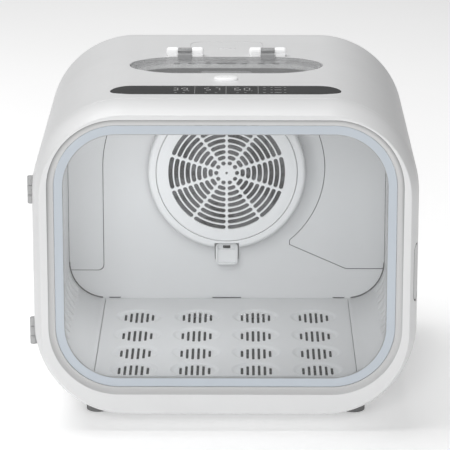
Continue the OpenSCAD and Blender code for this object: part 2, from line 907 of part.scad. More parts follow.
module strike_plates() {
  color(steel) for (z = [150, 290]) rod_y(y_body + 0.6, y_body + 2, 233.5, z, 4);
}

// ---- feet and screws ------------------------------------------------------

module foot(x, y) {
  color(dark) difference() {
    translate([x, y, 0]) cylinder(h = 34, r = 15);
    along_y(y - 20, y + 20) outline(hw, foot_gap, body_top, body_r, body_r);
  }
}

module foot_front_left() foot(-166, -150);
module foot_front_right() foot(166, -150);
module foot_rear_left() foot(-166, 150);
module foot_rear_right() foot(166, 150);

module case_screws() {
  color(steel) {
    for (x = [-165, 165]) for (z = screw_zs) {
      rod_y(yb - 12, yb + 0.5, x, z, 1.6);
      rod_y(yb, yb + 1.2, x, z, 3);
    }
  }
}

// ---- assembly -------------------------------------------------------------

housing_shell();
base_pan();
rear_panel();
mouth_ring();
door_seal();
liner_ceiling();
wall_left();
wall_right();
back_wall();
back_trim_left();
back_trim_right();
ramp_left();
ramp_right();
floor_tray();
floor_panel();
cover_ring();
cover_grille();
filter_pad();
filter_latch();
cover_seat();
blower_scroll();
blower_inlet();
blower_wheel();
blower_motor();
heater_frame();
heater_fins();
outlet_duct();
main_board();
power_board();
display_board();
display_lens();
climate_sensor();
inlet_socket();
hatch_collar();
hatch_lid();
lid_catch();
lid_hinge_left();
lid_hinge_right();
lid_pins();
lid_button();
button_spring();
rear_pad();
door_frame();
door_inner();
door_glass();
window_band();
door_button();
door_knuckles();
body_knuckles();
door_pins();
door_magnets();
strike_plates();
foot_front_left();
foot_front_right();
foot_rear_left();
foot_rear_right();
case_screws();
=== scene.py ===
import json
import math

import bmesh
import bpy
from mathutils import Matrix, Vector


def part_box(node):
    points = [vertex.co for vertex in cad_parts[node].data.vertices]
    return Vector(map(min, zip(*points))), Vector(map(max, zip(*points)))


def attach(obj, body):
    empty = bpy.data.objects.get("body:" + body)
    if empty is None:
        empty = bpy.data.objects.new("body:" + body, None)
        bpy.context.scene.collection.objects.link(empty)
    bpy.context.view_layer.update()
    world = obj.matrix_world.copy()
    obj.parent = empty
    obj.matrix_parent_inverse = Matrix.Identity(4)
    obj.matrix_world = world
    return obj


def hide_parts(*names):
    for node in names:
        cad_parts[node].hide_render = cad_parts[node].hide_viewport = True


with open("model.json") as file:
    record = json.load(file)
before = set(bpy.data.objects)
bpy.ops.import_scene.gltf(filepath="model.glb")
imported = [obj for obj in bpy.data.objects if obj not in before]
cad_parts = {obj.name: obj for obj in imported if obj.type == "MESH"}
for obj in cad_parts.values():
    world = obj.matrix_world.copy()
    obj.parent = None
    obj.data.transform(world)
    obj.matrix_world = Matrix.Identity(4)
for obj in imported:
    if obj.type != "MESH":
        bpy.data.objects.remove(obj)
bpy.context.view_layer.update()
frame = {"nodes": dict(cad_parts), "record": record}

# Looks of a counter-top pet drying cabin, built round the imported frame.
# Everything is in metres in the frame's own axes: +X right, +Y back, +Z up.

MM = 0.001
CORNER_STEPS = 28
ARC_STEPS = 14
NODES = frame["nodes"]

# Outlines, taken from the frame where it gives them
SHELL_LO, SHELL_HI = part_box("housing_shell")
DOOR_LO, DOOR_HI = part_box("door_frame")
GLASS_LO, GLASS_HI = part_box("door_glass")
BAND_LO, BAND_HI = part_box("window_band")
PANEL_LO, PANEL_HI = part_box("floor_panel")
GRILLE_LO, GRILLE_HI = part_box("cover_grille")
LENS_LO, LENS_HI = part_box("display_lens")
COLLAR_LO, COLLAR_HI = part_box("hatch_collar")
KEY_LO, KEY_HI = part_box("door_button")
PIN_LO, PIN_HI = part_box("lid_pins")
LATCH_LO, LATCH_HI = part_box("filter_latch")
BODY_HX = DOOR_HI.x
BODY_Z0 = DOOR_LO.z
BODY_Z1 = DOOR_HI.z
BODY_R = 118 * MM
WALL = 3 * MM
BACK_FILLET = 50 * MM
FLARE = 11.5 * MM
FLARE_SEAM = DOOR_HI.y + 0.5 * MM
FLARE_DEPTH = FLARE_SEAM - DOOR_LO.y
FLARE_R = (FLARE_DEPTH * FLARE_DEPTH + FLARE * FLARE) / (2 * FLARE)
BEVEL = 8 * MM
LIP_Y = DOOR_LO.y + 6 * MM
GLASS_OVER = 4.8 * MM
WIN_HX = GLASS_HI.x - GLASS_OVER
WIN_Z0 = GLASS_LO.z + GLASS_OVER
WIN_Z1 = GLASS_HI.z - GLASS_OVER
WIN_R = 80 * MM
FAN_Z = (GRILLE_LO.z + GRILLE_HI.z) / 2
GRILLE_R = GRILLE_HI.x - 2.2 * MM
HATCH_Y = (COLLAR_LO.y + COLLAR_HI.y) / 2
HATCH_HX = COLLAR_HI.x - 3 * MM
HATCH_HY = (COLLAR_HI.y - COLLAR_LO.y) / 2 - 3 * MM
HATCH_XS = 60 * MM
HATCH_RE = 38 * MM
STRIP_Y = (LENS_LO.y + LENS_HI.y) / 2
STRIP_HX = LENS_HI.x
STRIP_XS = 116 * MM
KEY_Y = DOOR_LO.y + 22.5 * MM
KEY_Z = (KEY_LO.z + KEY_HI.z) / 2
PIN_Y = (PIN_LO.y + PIN_HI.y) / 2
PIN_Z = (PIN_LO.z + PIN_HI.z) / 2
LATCH_Z = (LATCH_LO.z + LATCH_HI.z) / 2
WALL_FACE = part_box("back_wall")[0].y


# ---- flat outlines ----


def arc(cx, cy, r, start, end, steps):
    """Points on an arc in degrees, both ends included."""
    out = []
    for i in range(steps + 1):
        a = math.radians(start + (end - start) * i / steps)
        out.append((cx + r * math.cos(a), cy + r * math.sin(a)))
    return out


def soft_rect(hx, y0, y1, r, steps=CORNER_STEPS):
    """Rounded rectangle about x = 0, with the same number of points at any size."""
    return (
        arc(hx - r, y0 + r, r, -90, 0, steps)
        + arc(hx - r, y1 - r, r, 0, 90, steps)
        + arc(-hx + r, y1 - r, r, 90, 180, steps)
        + arc(-hx + r, y0 + r, r, 180, 270, steps)
    )


def centred_rect(cx, cy, hx, hy, r, steps=8):
    """Rounded rectangle about a centre."""
    return [(cx + x, cy + y) for x, y in soft_rect(hx, -hy, hy, r, steps)]


def oval(cy, hx, hy, xs, re):
    """Four-arc oval with a straight middle, about (0, cy)."""
    big = ((hx - re - xs) ** 2 + hy * hy - re * re) / (2 * (hy - re))
    al = math.degrees(math.atan2(big - hy, hx - re - xs))
    points = (
        arc(hx - re, 0, re, -al, al, 12)
        + arc(xs, hy - big, big, al, 90, 20)[1:]
        + arc(-xs, hy - big, big, 90, 180 - al, 20)
        + arc(re - hx, 0, re, 180 - al, 180 + al, 12)[1:]
        + arc(-xs, big - hy, big, 180 + al, 270, 20)[1:]
        + arc(xs, big - hy, big, 270, 360 - al, 20)[:-1]
    )
    return [(x, cy + y) for x, y in points]


def hatch_oval(grow):
    """The hatch opening's outline, grown by that much."""
    return oval(HATCH_Y, HATCH_HX + grow, HATCH_HY + grow, HATCH_XS, HATCH_RE + grow)


def pill(cx, cy, length, width, steps=12):
    """Bar with half-round ends, long way along the first axis."""
    r = width / 2
    h = length / 2 - r
    return arc(cx + h, cy, r, -90, 90, steps) + arc(cx - h, cy, r, 90, 270, steps)


# ---- meshes ----


def new_object(name, data):
    """A new object in the scene for a mesh, a camera or a lamp."""
    obj = bpy.data.objects.new(name, data)
    bpy.context.scene.collection.objects.link(obj)
    return obj


def mesh_object(name, verts, faces):
    """A new object of those vertices and faces, turned outwards."""
    mesh = bpy.data.meshes.new(name)
    mesh.from_pydata([tuple(v) for v in verts], [], faces)
    bm = bmesh.new()
    bm.from_mesh(mesh)
    bmesh.ops.remove_doubles(bm, verts=bm.verts, dist=1e-6)
    bmesh.ops.recalc_face_normals(bm, faces=bm.faces)
    bm.to_mesh(mesh)
    bm.free()
    return new_object(name, mesh)


def loft(name, rings, closed=False, caps=True):
    """Joins rings of equal count into a skin, closed on itself or with filled ends."""
    n = len(rings[0])
    verts = [v for ring in rings for v in ring]
    faces = []
    spans = len(rings) if closed else len(rings) - 1
    for i in range(spans):
        a, b = i * n, (i + 1) % len(rings) * n
        for j in range(n):
            k = (j + 1) % n
            faces.append((a + j, a + k, b + k, b + j))
    if caps and not closed:
        faces.append(tuple(range(n)))
        faces.append(tuple(range(len(verts) - n, len(verts))))
    return mesh_object(name, verts, faces)


def grid_faces(rows, columns):
    """Faces between the points of a grid that run row by row."""
    starts = [j * columns + i for j in range(rows - 1) for i in range(columns - 1)]
    return [(a, a + 1, a + columns + 1, a + columns) for a in starts]


def facing(points, y):
    """An outline drawn in x and z, at depth y."""
    return [(x, y, z) for x, z in points]


def level(points, z):
    """An outline drawn in x and y, at height z."""
    return [(x, y, z) for x, y in points]


def sideways(points, x):
    """An outline drawn in y and z, at width x."""
    return [(x, y, z) for y, z in points]


def upright(points, x):
    """An outline drawn in z and y, at width x."""
    return [(x, y, z) for z, y in points]


def prism(name, points, plane, a, b):
    """An outline drawn out from a to b, where plane is one of the four functions above."""
    return loft(name, [plane(points, a), plane(points, b)])


def lathe(name, profile, centre, axis="y", steps=96, closed=False):
    """Turns a profile of (radius, along) about an axis through centre."""
    rings = []
    for r, h in profile:
        ring = []
        for u, v in arc(0, 0, max(r, 1e-5), 0, 360, steps)[:-1]:
            offset = {"x": (h, u, v), "y": (u, h, v), "z": (u, v, h)}[axis]
            ring.append(tuple(c + d for c, d in zip(centre, offset)))
        rings.append(ring)
    return loft(name, rings, closed=closed)


def join(name, objects):
    """One object from several, their meshes kept apart."""
    bm = bmesh.new()
    for obj in objects:
        bm.from_mesh(obj.data)
    mesh = bpy.data.meshes.new(name)
    bm.to_mesh(mesh)
    bm.free()
    for obj in objects:
        bpy.data.objects.remove(obj)
    return new_object(name, mesh)


def settle(obj):
    """Applies the modifiers on obj to its mesh."""
    graph = bpy.context.evaluated_depsgraph_get()
    mesh = bpy.data.meshes.new_from_object(obj.evaluated_get(graph))
    obj.modifiers.clear()
    obj.data = mesh
    return obj


def combine(obj, tool, how="DIFFERENCE"):
    """Cuts the tool's shape out of obj, or adds it, and removes the tool."""
    mod = obj.modifiers.new("combine", "BOOLEAN")
    mod.operation = how
    mod.solver = "EXACT"
    mod.object = tool
    settle(obj)
    bpy.data.objects.remove(tool)
    return obj


def cut(obj, points, plane, a, b):
    """Cuts an outline out of obj from a to b."""
    return combine(obj, prism("cut", points, plane, a, b))


def bevel(obj, width, segments, angle):
    """A modifier on obj that rounds its edges sharper than the angle."""
    mod = obj.modifiers.new("edges", "BEVEL")
    mod.width = width
    mod.segments = segments
    mod.limit_method = "ANGLE"
    mod.angle_limit = math.radians(angle)
    return mod


def smooth(obj, width=0.0, segments=2, angle=32):
    """Rounds the sharp edges by width and shades the rest smoothly."""
    if width:
        bevel(obj, width, segments, angle)
        settle(obj)
    obj.data.shade_smooth()
    obj.data.set_sharp_from_angle(angle=math.radians(angle))
    obj.modifiers.new("flats", "WEIGHTED_NORMAL").keep_sharp = True
    return settle(obj)


# ---- materials ----


class Paint:
    """A Principled material built up from procedural nodes in object space."""

    def __init__(self, name, **sockets):
        self.mat = bpy.data.materials.new(name)
        self.mat.use_nodes = True
        self.tree = self.mat.node_tree
        self.shader = self.tree.nodes["Principled BSDF"]
        for key, value in sockets.items():
            self.shader.inputs[key.replace("_", " ")].default_value = value
        self.coords = self.tree.nodes.new("ShaderNodeTexCoord").outputs["Object"]
        self.height = None

    def node(self, kind, values=None, **settings):
        """A shader node with its settings, and its sockets set to the values."""
        made = self.tree.nodes.new("ShaderNode" + kind)
        for key, value in settings.items():
            setattr(made, key, value)
        for key, value in (values or {}).items():
            made.inputs[key].default_value = value
        return made

    def link(self, a, b):
        self.tree.links.new(a, b)

    def noise(self, scale, detail=3.0, rough=0.5, stretch=(1, 1, 1)):
        """Noise value in object space, with scale as cells per metre."""
        mapping = self.node("Mapping", {"Scale": stretch})
        self.link(self.coords, mapping.inputs["Vector"])
        made = self.node("TexNoise", {"Scale": scale, "Detail": detail, "Roughness": rough})
        self.link(mapping.outputs["Vector"], made.inputs["Vector"])
        return made.outputs["Fac"]

    def remap(self, value, old, new):
        """The value carried from the old range to the new one."""
        made = self.node("MapRange", {"From Min": old[0], "From Max": old[1],
                                      "To Min": new[0], "To Max": new[1]})
        self.link(value, made.inputs["Value"])
        return made.outputs["Result"]

    def spread(self, value, low, high):
        """The value's middle range mapped to low and high."""
        return self.remap(value, (0.3, 0.7), (low, high))

    def along(self, axis, old, new=(0.0, 1.0)):
        """Place along an object axis, carried from the old range to the new one."""
        split = self.node("SeparateXYZ")
        self.link(self.coords, split.inputs["Vector"])
        return self.remap(split.outputs[axis], old, new)

    def ramp(self, value, dark, light, at):
        """A colour from dark to light with the value."""
        made = self.node("ValToRGB")
        for stop, place, tone in zip(made.color_ramp.elements, at, (dark, light)):
            stop.position = place
            stop.color = (*tone, 1)
        self.link(value, made.inputs["Fac"])
        return made.outputs["Color"]

    def colour(self, value, dark, light, at=(0.3, 0.7)):
        """Base colour from dark to light with the value."""
        self.link(self.ramp(value, dark, light, at), self.shader.inputs["Base Color"])

    def roughness(self, value, low, high):
        self.link(self.spread(value, low, high), self.shader.inputs["Roughness"])

    def bump(self, value, depth, strength=1.0):
        """Adds relief of that depth in metres."""
        made = self.node("Bump", {"Strength": strength, "Distance": depth})
        self.link(value, made.inputs["Height"])
        if self.height:
            self.link(self.height, made.inputs["Normal"])
        self.height = made.outputs["Normal"]
        self.link(self.height, self.shader.inputs["Normal"])

    def sheen(self, low, high, grain):
        """The roughness and fine grain of moulded plastic."""
        self.roughness(self.noise(140, 4), low, high)
        self.bump(self.noise(1500, 2, 0.6), grain, 0.6)

    def layer(self, below, above, share):
        """Shows one shader over another by that share."""
        mix = self.node("MixShader")
        self.link(share, mix.inputs["Fac"])
        self.link(below.outputs["BSDF"], mix.inputs[1])
        self.link(above.outputs["BSDF"], mix.inputs[2])
        self.link(mix.outputs["Shader"], self.tree.nodes["Material Output"].inputs["Surface"])


def grey(value, blue=0.0):
    """A near neutral colour, a little cooler with blue."""
    return (value * (1 - blue), value * (1 - blue * 0.05), value * (1 + blue))


def moulded(name, value, rough, grain=0.00003, blue=0.004, coat=0.0, shift=0.015, painted_glow=0.0):
    """Moulded plastic: faint shade drift, fine texture and a slight ripple, with painted_glow as painted
    light given off by the surface.
    """
    paint = Paint(name, Coat_Weight=coat, Coat_Roughness=0.12, IOR=1.46,
                  Emission_Color=(1, 1, 1, 1), Emission_Strength=painted_glow)
    paint.colour(paint.noise(9, 2), grey(value * (1 - shift), blue), grey(value * (1 + shift), blue))
    paint.bump(paint.noise(35, 2), 0.00004, 0.35)
    paint.sheen(rough - 0.05, rough + 0.05, grain)
    return paint.mat


def shaded_cove(name, y_dark, y_light):
    """White plastic with painted shade: darker towards the bevel's outer edge and its top, where the cove
    turns from the light.
    """
    paint = Paint(name, IOR=1.46)
    # Painted shade: dark towards the outer edge, and painted lighter towards the bottom where the cove
    # faces up to the lamps.
    lit = paint.node("Math", operation="ADD")
    paint.link(paint.along("Y", (y_dark, y_light)), lit.inputs[0])
    paint.link(paint.along("Z", (WIN_Z0, WIN_Z1), (0.9, 0.0)), lit.inputs[1])
    paint.colour(lit.outputs["Value"], grey(0.2), grey(0.58), (0.0, 1.0))
    paint.sheen(0.38, 0.48, 0.00002)
    return paint.mat


def graded(name, axis, span, start, end, rough, grain):
    """Plastic that changes colour over a span along an object axis."""
    paint = Paint(name, IOR=1.46)
    paint.colour(paint.along(axis, span), start, end, (0.0, 1.0))
    paint.sheen(*rough, grain)
    return paint.mat


def metal(name, value, rough, stretch):
    """Brushed metal with its grain along one axis."""
    paint = Paint(name, Metallic=1.0)
    grain = paint.noise(900, 4, 0.6, stretch)
    paint.colour(grain, grey(value * 0.86), grey(value * 1.05))
    paint.roughness(grain, rough - 0.06, rough + 0.1)
    paint.bump(grain, 0.00003, 0.5)
    return paint.mat


def rubber(name, value, gloss=0.5):
    """Matt rubber with a fine grain."""
    paint = Paint(name, IOR=1.45, Specular_IOR_Level=gloss)
    fine = paint.noise(700, 4, 0.65)
    paint.colour(paint.noise(60, 3), grey(value * 0.9), grey(value * 1.12))
    paint.roughness(fine, 0.62, 0.8)
    paint.bump(fine, 0.0001, 0.5)
    return paint.mat


def foam(name):
    """Woven filter net: a fine dark mesh over lighter patches."""
    paint = Paint(name)
    mesh = paint.node("TexVoronoi", {"Scale": 650}, feature="DISTANCE_TO_EDGE")
    paint.link(paint.coords, mesh.inputs["Vector"])
    patches = paint.noise(26, 3, 0.6)
    paint.colour(patches, (0.005, 0.005, 0.005), (0.085, 0.085, 0.088), (0.42, 0.5))
    paint.roughness(patches, 0.55, 0.8)
    paint.bump(mesh.outputs["Distance"], 0.0004, 0.8)
    return paint.mat


def board(name):
    """Green circuit board with faint raised tracks."""
    paint = Paint(name, Coat_Weight=0.4, Coat_Roughness=0.25)
    tracks = paint.node("TexBrick", {
        "Scale": 120, "Mortar Size": 0.04, "Color1": (0.012, 0.07, 0.035, 1),
        "Color2": (0.018, 0.1, 0.05, 1), "Mortar": (0.03, 0.16, 0.08, 1)})
    paint.link(paint.coords, tracks.inputs["Vector"])
    paint.link(tracks.outputs["Color"], paint.shader.inputs["Base Color"])
    paint.roughness(paint.noise(300, 3), 0.35, 0.5)
    paint.bump(tracks.outputs["Fac"], 0.00005, 0.5)
    return paint.mat


def see_through(name, tint, share, rough):
    """Thin clear or smoked plastic: what is behind shows, tinted, under a gloss."""
    paint = Paint(name, IOR=1.4)
    haze = paint.noise(6, 2)
    paint.colour(haze, grey(tint * 0.92, 0.01), grey(tint * 1.05, 0.01))
    paint.roughness(paint.noise(50, 3), rough, rough + 0.03)
    paint.bump(paint.noise(14, 1), 0.00003, 0.25)
    clear = paint.node("BsdfTransparent", {"Color": (*grey(0.5 + tint / 2), 1)})
    paint.layer(clear, paint.shader, paint.spread(haze, share - 0.02, share + 0.02))
    return paint.mat


def pane_glass(name):
    """Flat glass: nearly clear, with reflections that grow off the square alike on both faces."""
    paint = Paint(name)
    paint.tree.nodes.remove(paint.shader)
    gloss = paint.node("BsdfGlossy", {"Color": (1, 1, 1, 1), "Roughness": 0.02})
    clear = paint.node("BsdfTransparent")
    tone = paint.ramp(paint.noise(5, 2), (0.965, 0.975, 0.98), (0.985, 0.99, 0.995), (0.0, 1.0))
    paint.link(tone, clear.inputs["Color"])
    ripple = paint.node("Bump", {"Strength": 0.1, "Distance": 0.00002})
    paint.link(paint.noise(9, 1), ripple.inputs["Height"])
    paint.link(ripple.outputs["Normal"], gloss.inputs["Normal"])
    tilt = paint.node("LayerWeight", {"Blend": 0.5})
    steep = paint.node("Math", {1: 5.0}, operation="POWER")
    edge = paint.node("Math", {1: 0.92, 2: 0.04}, operation="MULTIPLY_ADD")
    paint.link(tilt.outputs["Facing"], steep.inputs[0])
    paint.link(steep.outputs["Value"], edge.inputs[0])
    paint.layer(clear, gloss, edge.outputs["Value"])
    return paint.mat


def lens_glass(name):
    """The dark touch strip: polished, a little paler where its film shows."""
    paint = Paint(name, IOR=1.24)
    film = paint.noise(22, 2)
    paint.colour(film, grey(0.03, 0.02), grey(0.042, 0.02))
    paint.roughness(paint.noise(90, 3), 0.16, 0.24)
    paint.bump(paint.noise(30, 1), 0.00002, 0.2)
    return paint.mat


def marks(name, value):
    """Printed or lit marks on the touch strip."""
    paint = Paint(name)
    paint.colour(paint.noise(400, 2), grey(value * 0.8), grey(value))
    paint.roughness(paint.noise(200, 2), 0.4, 0.5)
    return paint.mat


WHITE = moulded("white_shell", 0.74, 0.38, 0.00002)
PALE = moulded("pale_liner", 0.68, 0.5, 0.00004)
TRIM = moulded("grey_trim", 0.42, 0.42)
DARK = moulded("dark_plastic", 0.022, 0.5, 0.00005, 0.0, shift=0.1)
HEAT = moulded("heat_plastic", 0.2, 0.55, 0.00006, -0.02, shift=0.05)
BAND = moulded("pale_band", 0.57, 0.34, 0.00001, 0.085)
STEEL = metal("steel", 0.62, 0.3, (1, 0.05, 1))
FIN = metal("fin_aluminium", 0.72, 0.35, (1, 1, 0.05))
SEAL = rubber("silicone", 0.32)
# Painted shade: a near black line for the shadow gaps round the door key, the latch tab and the chamber's
# corners.
SHADE_LINE = rubber("painted_shade_line", 0.07)
PALE_LINE = rubber("pane_line", 0.36)
RUBBER = rubber("foot_rubber", 0.2)
FOAM = foam("filter_foam")
BOARD = board("circuit_board")
LENS = lens_glass("display_glass")
SMOKE = see_through("smoked_lid", 0.72, 0.2, 0.1)
HAZE = see_through("smoked_edge", 0.85, 0.42, 0.16)
ARM = see_through("smoked_arm", 0.5, 0.45, 0.14)
# Painted shade: near black for the inside of the latch's finger slot.
SLOT_SHADE = rubber("slot_painted_shade", 0.006, 0.1)
# Painted shade: the floor tray under the vented panel is near black, so the slits and gaps above it read
# dark with shade.
TRAY_SHADE = rubber("tray_painted_shade", 0.016, 0.15)
# Painted shade: the back wall turns near black just behind its face, so the seams in it read dark with
# shade.
SEAM_SHADE_LINER = graded("liner_painted_seam_shade", "Y", (WALL_FACE + 0.5 * MM, WALL_FACE + 0.9 * MM),
                grey(0.68, 0.004), grey(0.03), (0.45, 0.55), 0.00004)
# Painted light: the hinge barrels and hatch button glow a little, to read brighter than the shell under
# the same lamps.
GLOW_WHITE = moulded("cap_painted_glow", 0.92, 0.3, 0.00002, coat=0.3, painted_glow=0.12)
PANE = pane_glass("clear_pane")
MARK = marks("display_marks", 0.42)

BY_SLOT = {
    "white_shell": WHITE, "pale_liner": PALE, "grey_trim": TRIM, "dark_plastic": DARK,
    "heat_plastic": HEAT, "pale_band": BAND, "steel": STEEL, "fin_aluminium": FIN,
    "silicone": SEAL, "foot_rubber": RUBBER, "filter_foam": FOAM, "circuit_board": BOARD,
    "display_glass": LENS, "smoked_lid": SMOKE, "clear_pane": PANE,
}
# back_wall and floor_tray take painted shade: dark seams and a near black tray under the vents.
BY_NODE = {"back_wall": SEAM_SHADE_LINER, "floor_tray": TRAY_SHADE}


def finish_piece(obj, body, slot, *nodes, mat=None):
    """Gives a piece its finish and its body, and hides the CAD nodes it stands for."""
    obj.data.materials.clear()
    obj.data.materials.append(mat or BY_SLOT[slot])
    if nodes:
        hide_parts(*nodes)
    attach(obj, body)
    return obj


def dress_cad_nodes():
    """Every CAD node gets its material and softly rounded edges."""
    slots = {s["node"]: s["material_slot"] for s in frame["record"]["subparts"]}
    for name, obj in NODES.items():
        obj.data.materials.clear()
        obj.data.materials.append(BY_NODE.get(name, BY_SLOT[slots[name]]))
        weld = obj.modifiers.new("weld", "WELD")
        weld.merge_threshold = 0.01 * MM
        bevel(obj, 0.4 * MM, 2, 35).harden_normals = True


# ---- outlines of the cabinet ----


def body_ring(grow, y):
    """The cabinet's outline at depth y, grown by that much."""
    return facing(soft_rect(BODY_HX + grow, BODY_Z0 - grow, BODY_Z1 + grow, BODY_R + grow), y)


def window_ring(grow, y):
    """The window's outline at depth y, grown by that much."""
    return facing(soft_rect(WIN_HX + grow, WIN_Z0 - grow, WIN_Z1 + grow, WIN_R + grow), y)


def flare_at(y):
    """Growth of the door's outline at depth y, below zero where it draws in."""
    return math.sqrt(FLARE_R * FLARE_R - (y - FLARE_SEAM) ** 2) - FLARE_R


# ---- door ----


def flare_profile():
    """The door's outside from its seam: a soft edge, the long flare and a small round nose."""
    y_front, y_seam = DOOR_LO.y, DOOR_HI.y
    nose = 1.8 * MM
    inner_r = FLARE_R - nose
    cx = math.sqrt(inner_r ** 2 - (y_front + nose - FLARE_SEAM) ** 2) - FLARE_R
    turn = math.degrees(math.asin((FLARE_SEAM - y_front - nose) / inner_r))
    profile = [(-0.8 * MM, y_seam), (-0.25 * MM, y_seam - 0.25 * MM), (0, y_seam - 0.8 * MM)]
    for i in range(1, ARC_STEPS + 1):
        a = math.radians(turn * i / ARC_STEPS)
        profile.append((FLARE_R * math.cos(a) - FLARE_R, FLARE_SEAM - FLARE_R * math.sin(a)))
    for i in range(1, 9):
        a = math.radians(turn + (90 - turn) * i / 8)
        profile.append((cx + nose * math.cos(a), y_front + nose - nose * math.sin(a)))
    return profile


def bevel_profile():
    """The door's inside from its face: the hollow bevel, the lip and the rebate for the glass."""
    y_front, glass_y, back_y = DOOR_LO.y, GLASS_LO.y - 0.2 * MM, GLASS_HI.y + 4 * MM
    rebate, step = GLASS_OVER + 0.3 * MM, GLASS_OVER + 3 * MM
    steep, flat = math.radians(68.9), math.radians(4.9)
    cove = BEVEL / (math.sin(steep) - math.sin(flat))
    profile = [(BEVEL + 1 * MM, y_front), (BEVEL + 0.4 * MM, y_front + 0.07 * MM),
               (BEVEL + 0.1 * MM, y_front + 0.3 * MM)]
    for i in range(1, 11):
        a = steep + (flat - steep) * i / 10
        profile.append((BEVEL - cove * (math.sin(steep) - math.sin(a)),
                        y_front + cove * (math.cos(a) - math.cos(steep))))
    return profile + [(0, LIP_Y + 0.3 * MM), (0, glass_y), (rebate, glass_y),
                      (rebate, back_y), (step, back_y), (step, y_front + WALL)]


def door_skin():
    """The door frame as one closed skin."""
    rings = [body_ring(g, y) for g, y in flare_profile()]
    rings += [window_ring(g, y) for g, y in bevel_profile()]
    rings.append(body_ring(-FLARE - 1.5 * WALL, DOOR_LO.y + WALL))
    for i in range(ARC_STEPS, -1, -2):
        y = FLARE_SEAM - (FLARE_DEPTH - 1.6 * WALL) * i / ARC_STEPS
        rings.append(body_ring(flare_at(y) - WALL, min(y, DOOR_HI.y)))
    return loft("door_skin", rings, closed=True)


def shade_bevel(obj):
    """The faces between the window's edge and the door's face get the cove's painted shade."""
    y_front = DOOR_LO.y
    obj.data.materials.append(shaded_cove("door_cove_painted_shade", y_front, LIP_Y))
    mid, half = (WIN_Z0 + WIN_Z1) / 2, (WIN_Z1 - WIN_Z0) / 2
    for face in obj.data.polygons:
        c = face.center
        dx = abs(c.x) - WIN_HX + WIN_R
        dz = abs(c.z - mid) - half + WIN_R
        out = math.hypot(max(dx, 0), max(dz, 0)) + min(max(dx, dz), 0) - WIN_R
        if 0 < out < BEVEL + 0.05 * MM and y_front + 0.1 * MM < c.y < LIP_Y + 0.1 * MM:
            face.material_index = 1


def door_frame():
    """The door's frame, cut for its button and its hinges."""
    piece = door_skin()
    hole = pill(KEY_Z, KEY_Y, 77.4 * MM, 24.4 * MM, 16)
    cut(piece, hole, upright, BODY_HX - 20 * MM, BODY_HX + 5 * MM)
    for lo, hi in hinge_spans():
        relief = centred_rect(-BODY_HX, DOOR_HI.y - 5.6 * MM, 3.5 * MM, 7 * MM, 0.5 * MM, 2)
        cut(piece, relief, level, lo + 10.8 * MM, hi - 10.8 * MM)
        cut_bore(piece, DOOR_HI.y + 0.5 * MM, lo, hi)
    finish_piece(smooth(piece, 0.35 * MM, 2, 40), "door", "white_shell", "door_frame")
    shade_bevel(piece)


def window_loop(name, profile):
    """A closed loop round the window from rows of (growth in millimetres, depth)."""
    loop = loft(name, [window_ring(g * MM, y) for g, y in profile], closed=True)
    return smooth(loop)


def window_parts():
    """The pale band inside the window, the thin seal along it and the glass pane."""
    y0, y1 = BAND_LO.y, BAND_HI.y
    band = window_loop("window_border", [
        (-0.9, y0), (-0.6, y0 + 0.3 * MM), (-0.6, y1), (-11.5, y1), (-11.5, y0 + 0.3 * MM), (-11.2, y0)])
    finish_piece(band, "door", "pale_band", "window_band")
    line = window_loop("border_seal", [
        (-11.5, y0 + 0.6 * MM), (-11.6, y1), (-12.4, y1), (-12.4, y0 + 0.8 * MM), (-12.1, y0 + 0.6 * MM)])
    finish_piece(line, "door", "silicone", mat=PALE_LINE)
    edge = 0.6 * MM
    glass = loft("glass_pane", [window_ring(g, y) for g, y in (
        (GLASS_OVER - edge, GLASS_LO.y), (GLASS_OVER, GLASS_LO.y + edge),
        (GLASS_OVER, GLASS_HI.y - edge), (GLASS_OVER - edge, GLASS_HI.y))])
    finish_piece(smooth(glass), "door", "clear_pane", "door_glass")


def door_button():
    """Pill key that follows the door's flare, with a softly rounded edge and painted shade round its rim.
    """
    length, width, edge, proud = 76 * MM, 23 * MM, 1.2 * MM, 0.4 * MM

    def ring(grow, sink):
        return [(BODY_HX + flare_at(y) - sink, y, z)
                for z, y in pill(KEY_Z, KEY_Y, length + 2 * grow, width + 2 * grow, 16)]

    rings = [ring(0, 9 * MM), ring(0, 1.6 * MM)]
    for i in range(1, 6):
        a = math.radians(90 * i / 5)
        rings.append(ring(-edge * (1 - math.cos(a)), proud + edge * (1 - math.sin(a))))
    rings += [ring(-g * MM, proud + s * MM) for g, s in ((1.9, 0.02), (3, 0.05), (6, 0.3), (9, 0.45))]
    key = loft("release_key", rings)
    finish_piece(smooth(key), "door_release", "grey_trim", "door_button", mat=PALE)
    # Painted shade: faces near the key's rim take the dark line, standing in for the shadow in the gap
    # round the key.
    key.data.materials.append(SHADE_LINE)
    for face in key.data.polygons:
        c = face.center
        out = math.hypot(c.y - KEY_Y, max(abs(c.z - KEY_Z) - 26.5 * MM, 0)) - 11.5 * MM
        if out > -1.85 * MM:
            face.material_index = 1


def hinge_spans():
    """Lowest and highest z of the two door hinges."""
    lo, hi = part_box("body_knuckles")
    span = 35 * MM
    return [(lo.z, lo.z + span), (hi.z - span, hi.z)]


def cut_bore(obj, y, lo, hi):
    """Room for a door hinge's barrel at depth y."""
    circle = arc(-BODY_HX - 1.5 * MM, y, 5.2 * MM, 0, 360, 32)[:-1]
    cut(obj, circle, level, lo - 0.6 * MM, hi + 0.6 * MM)


# ---- cabinet skin ----


def cabinet_skin():
    """Closed shell of even wall, filleted all round its back edge."""
    front = SHELL_LO.y
    outer = [(-1.1 * MM, front), (-0.7 * MM, front + 0.08 * MM), (-0.32 * MM, front + 0.32 * MM),
             (-0.08 * MM, front + 0.7 * MM), (0, front + 1.1 * MM)]
    start = SHELL_HI.y - BACK_FILLET
    outer += arc(-BACK_FILLET, start, BACK_FILLET, 0, 90, 22)
    inner = [(-WALL, front)] + arc(-BACK_FILLET, start, BACK_FILLET - WALL, 0, 90, 22)
    return loft("skin", [body_ring(g, y) for g, y in inner[::-1] + outer])


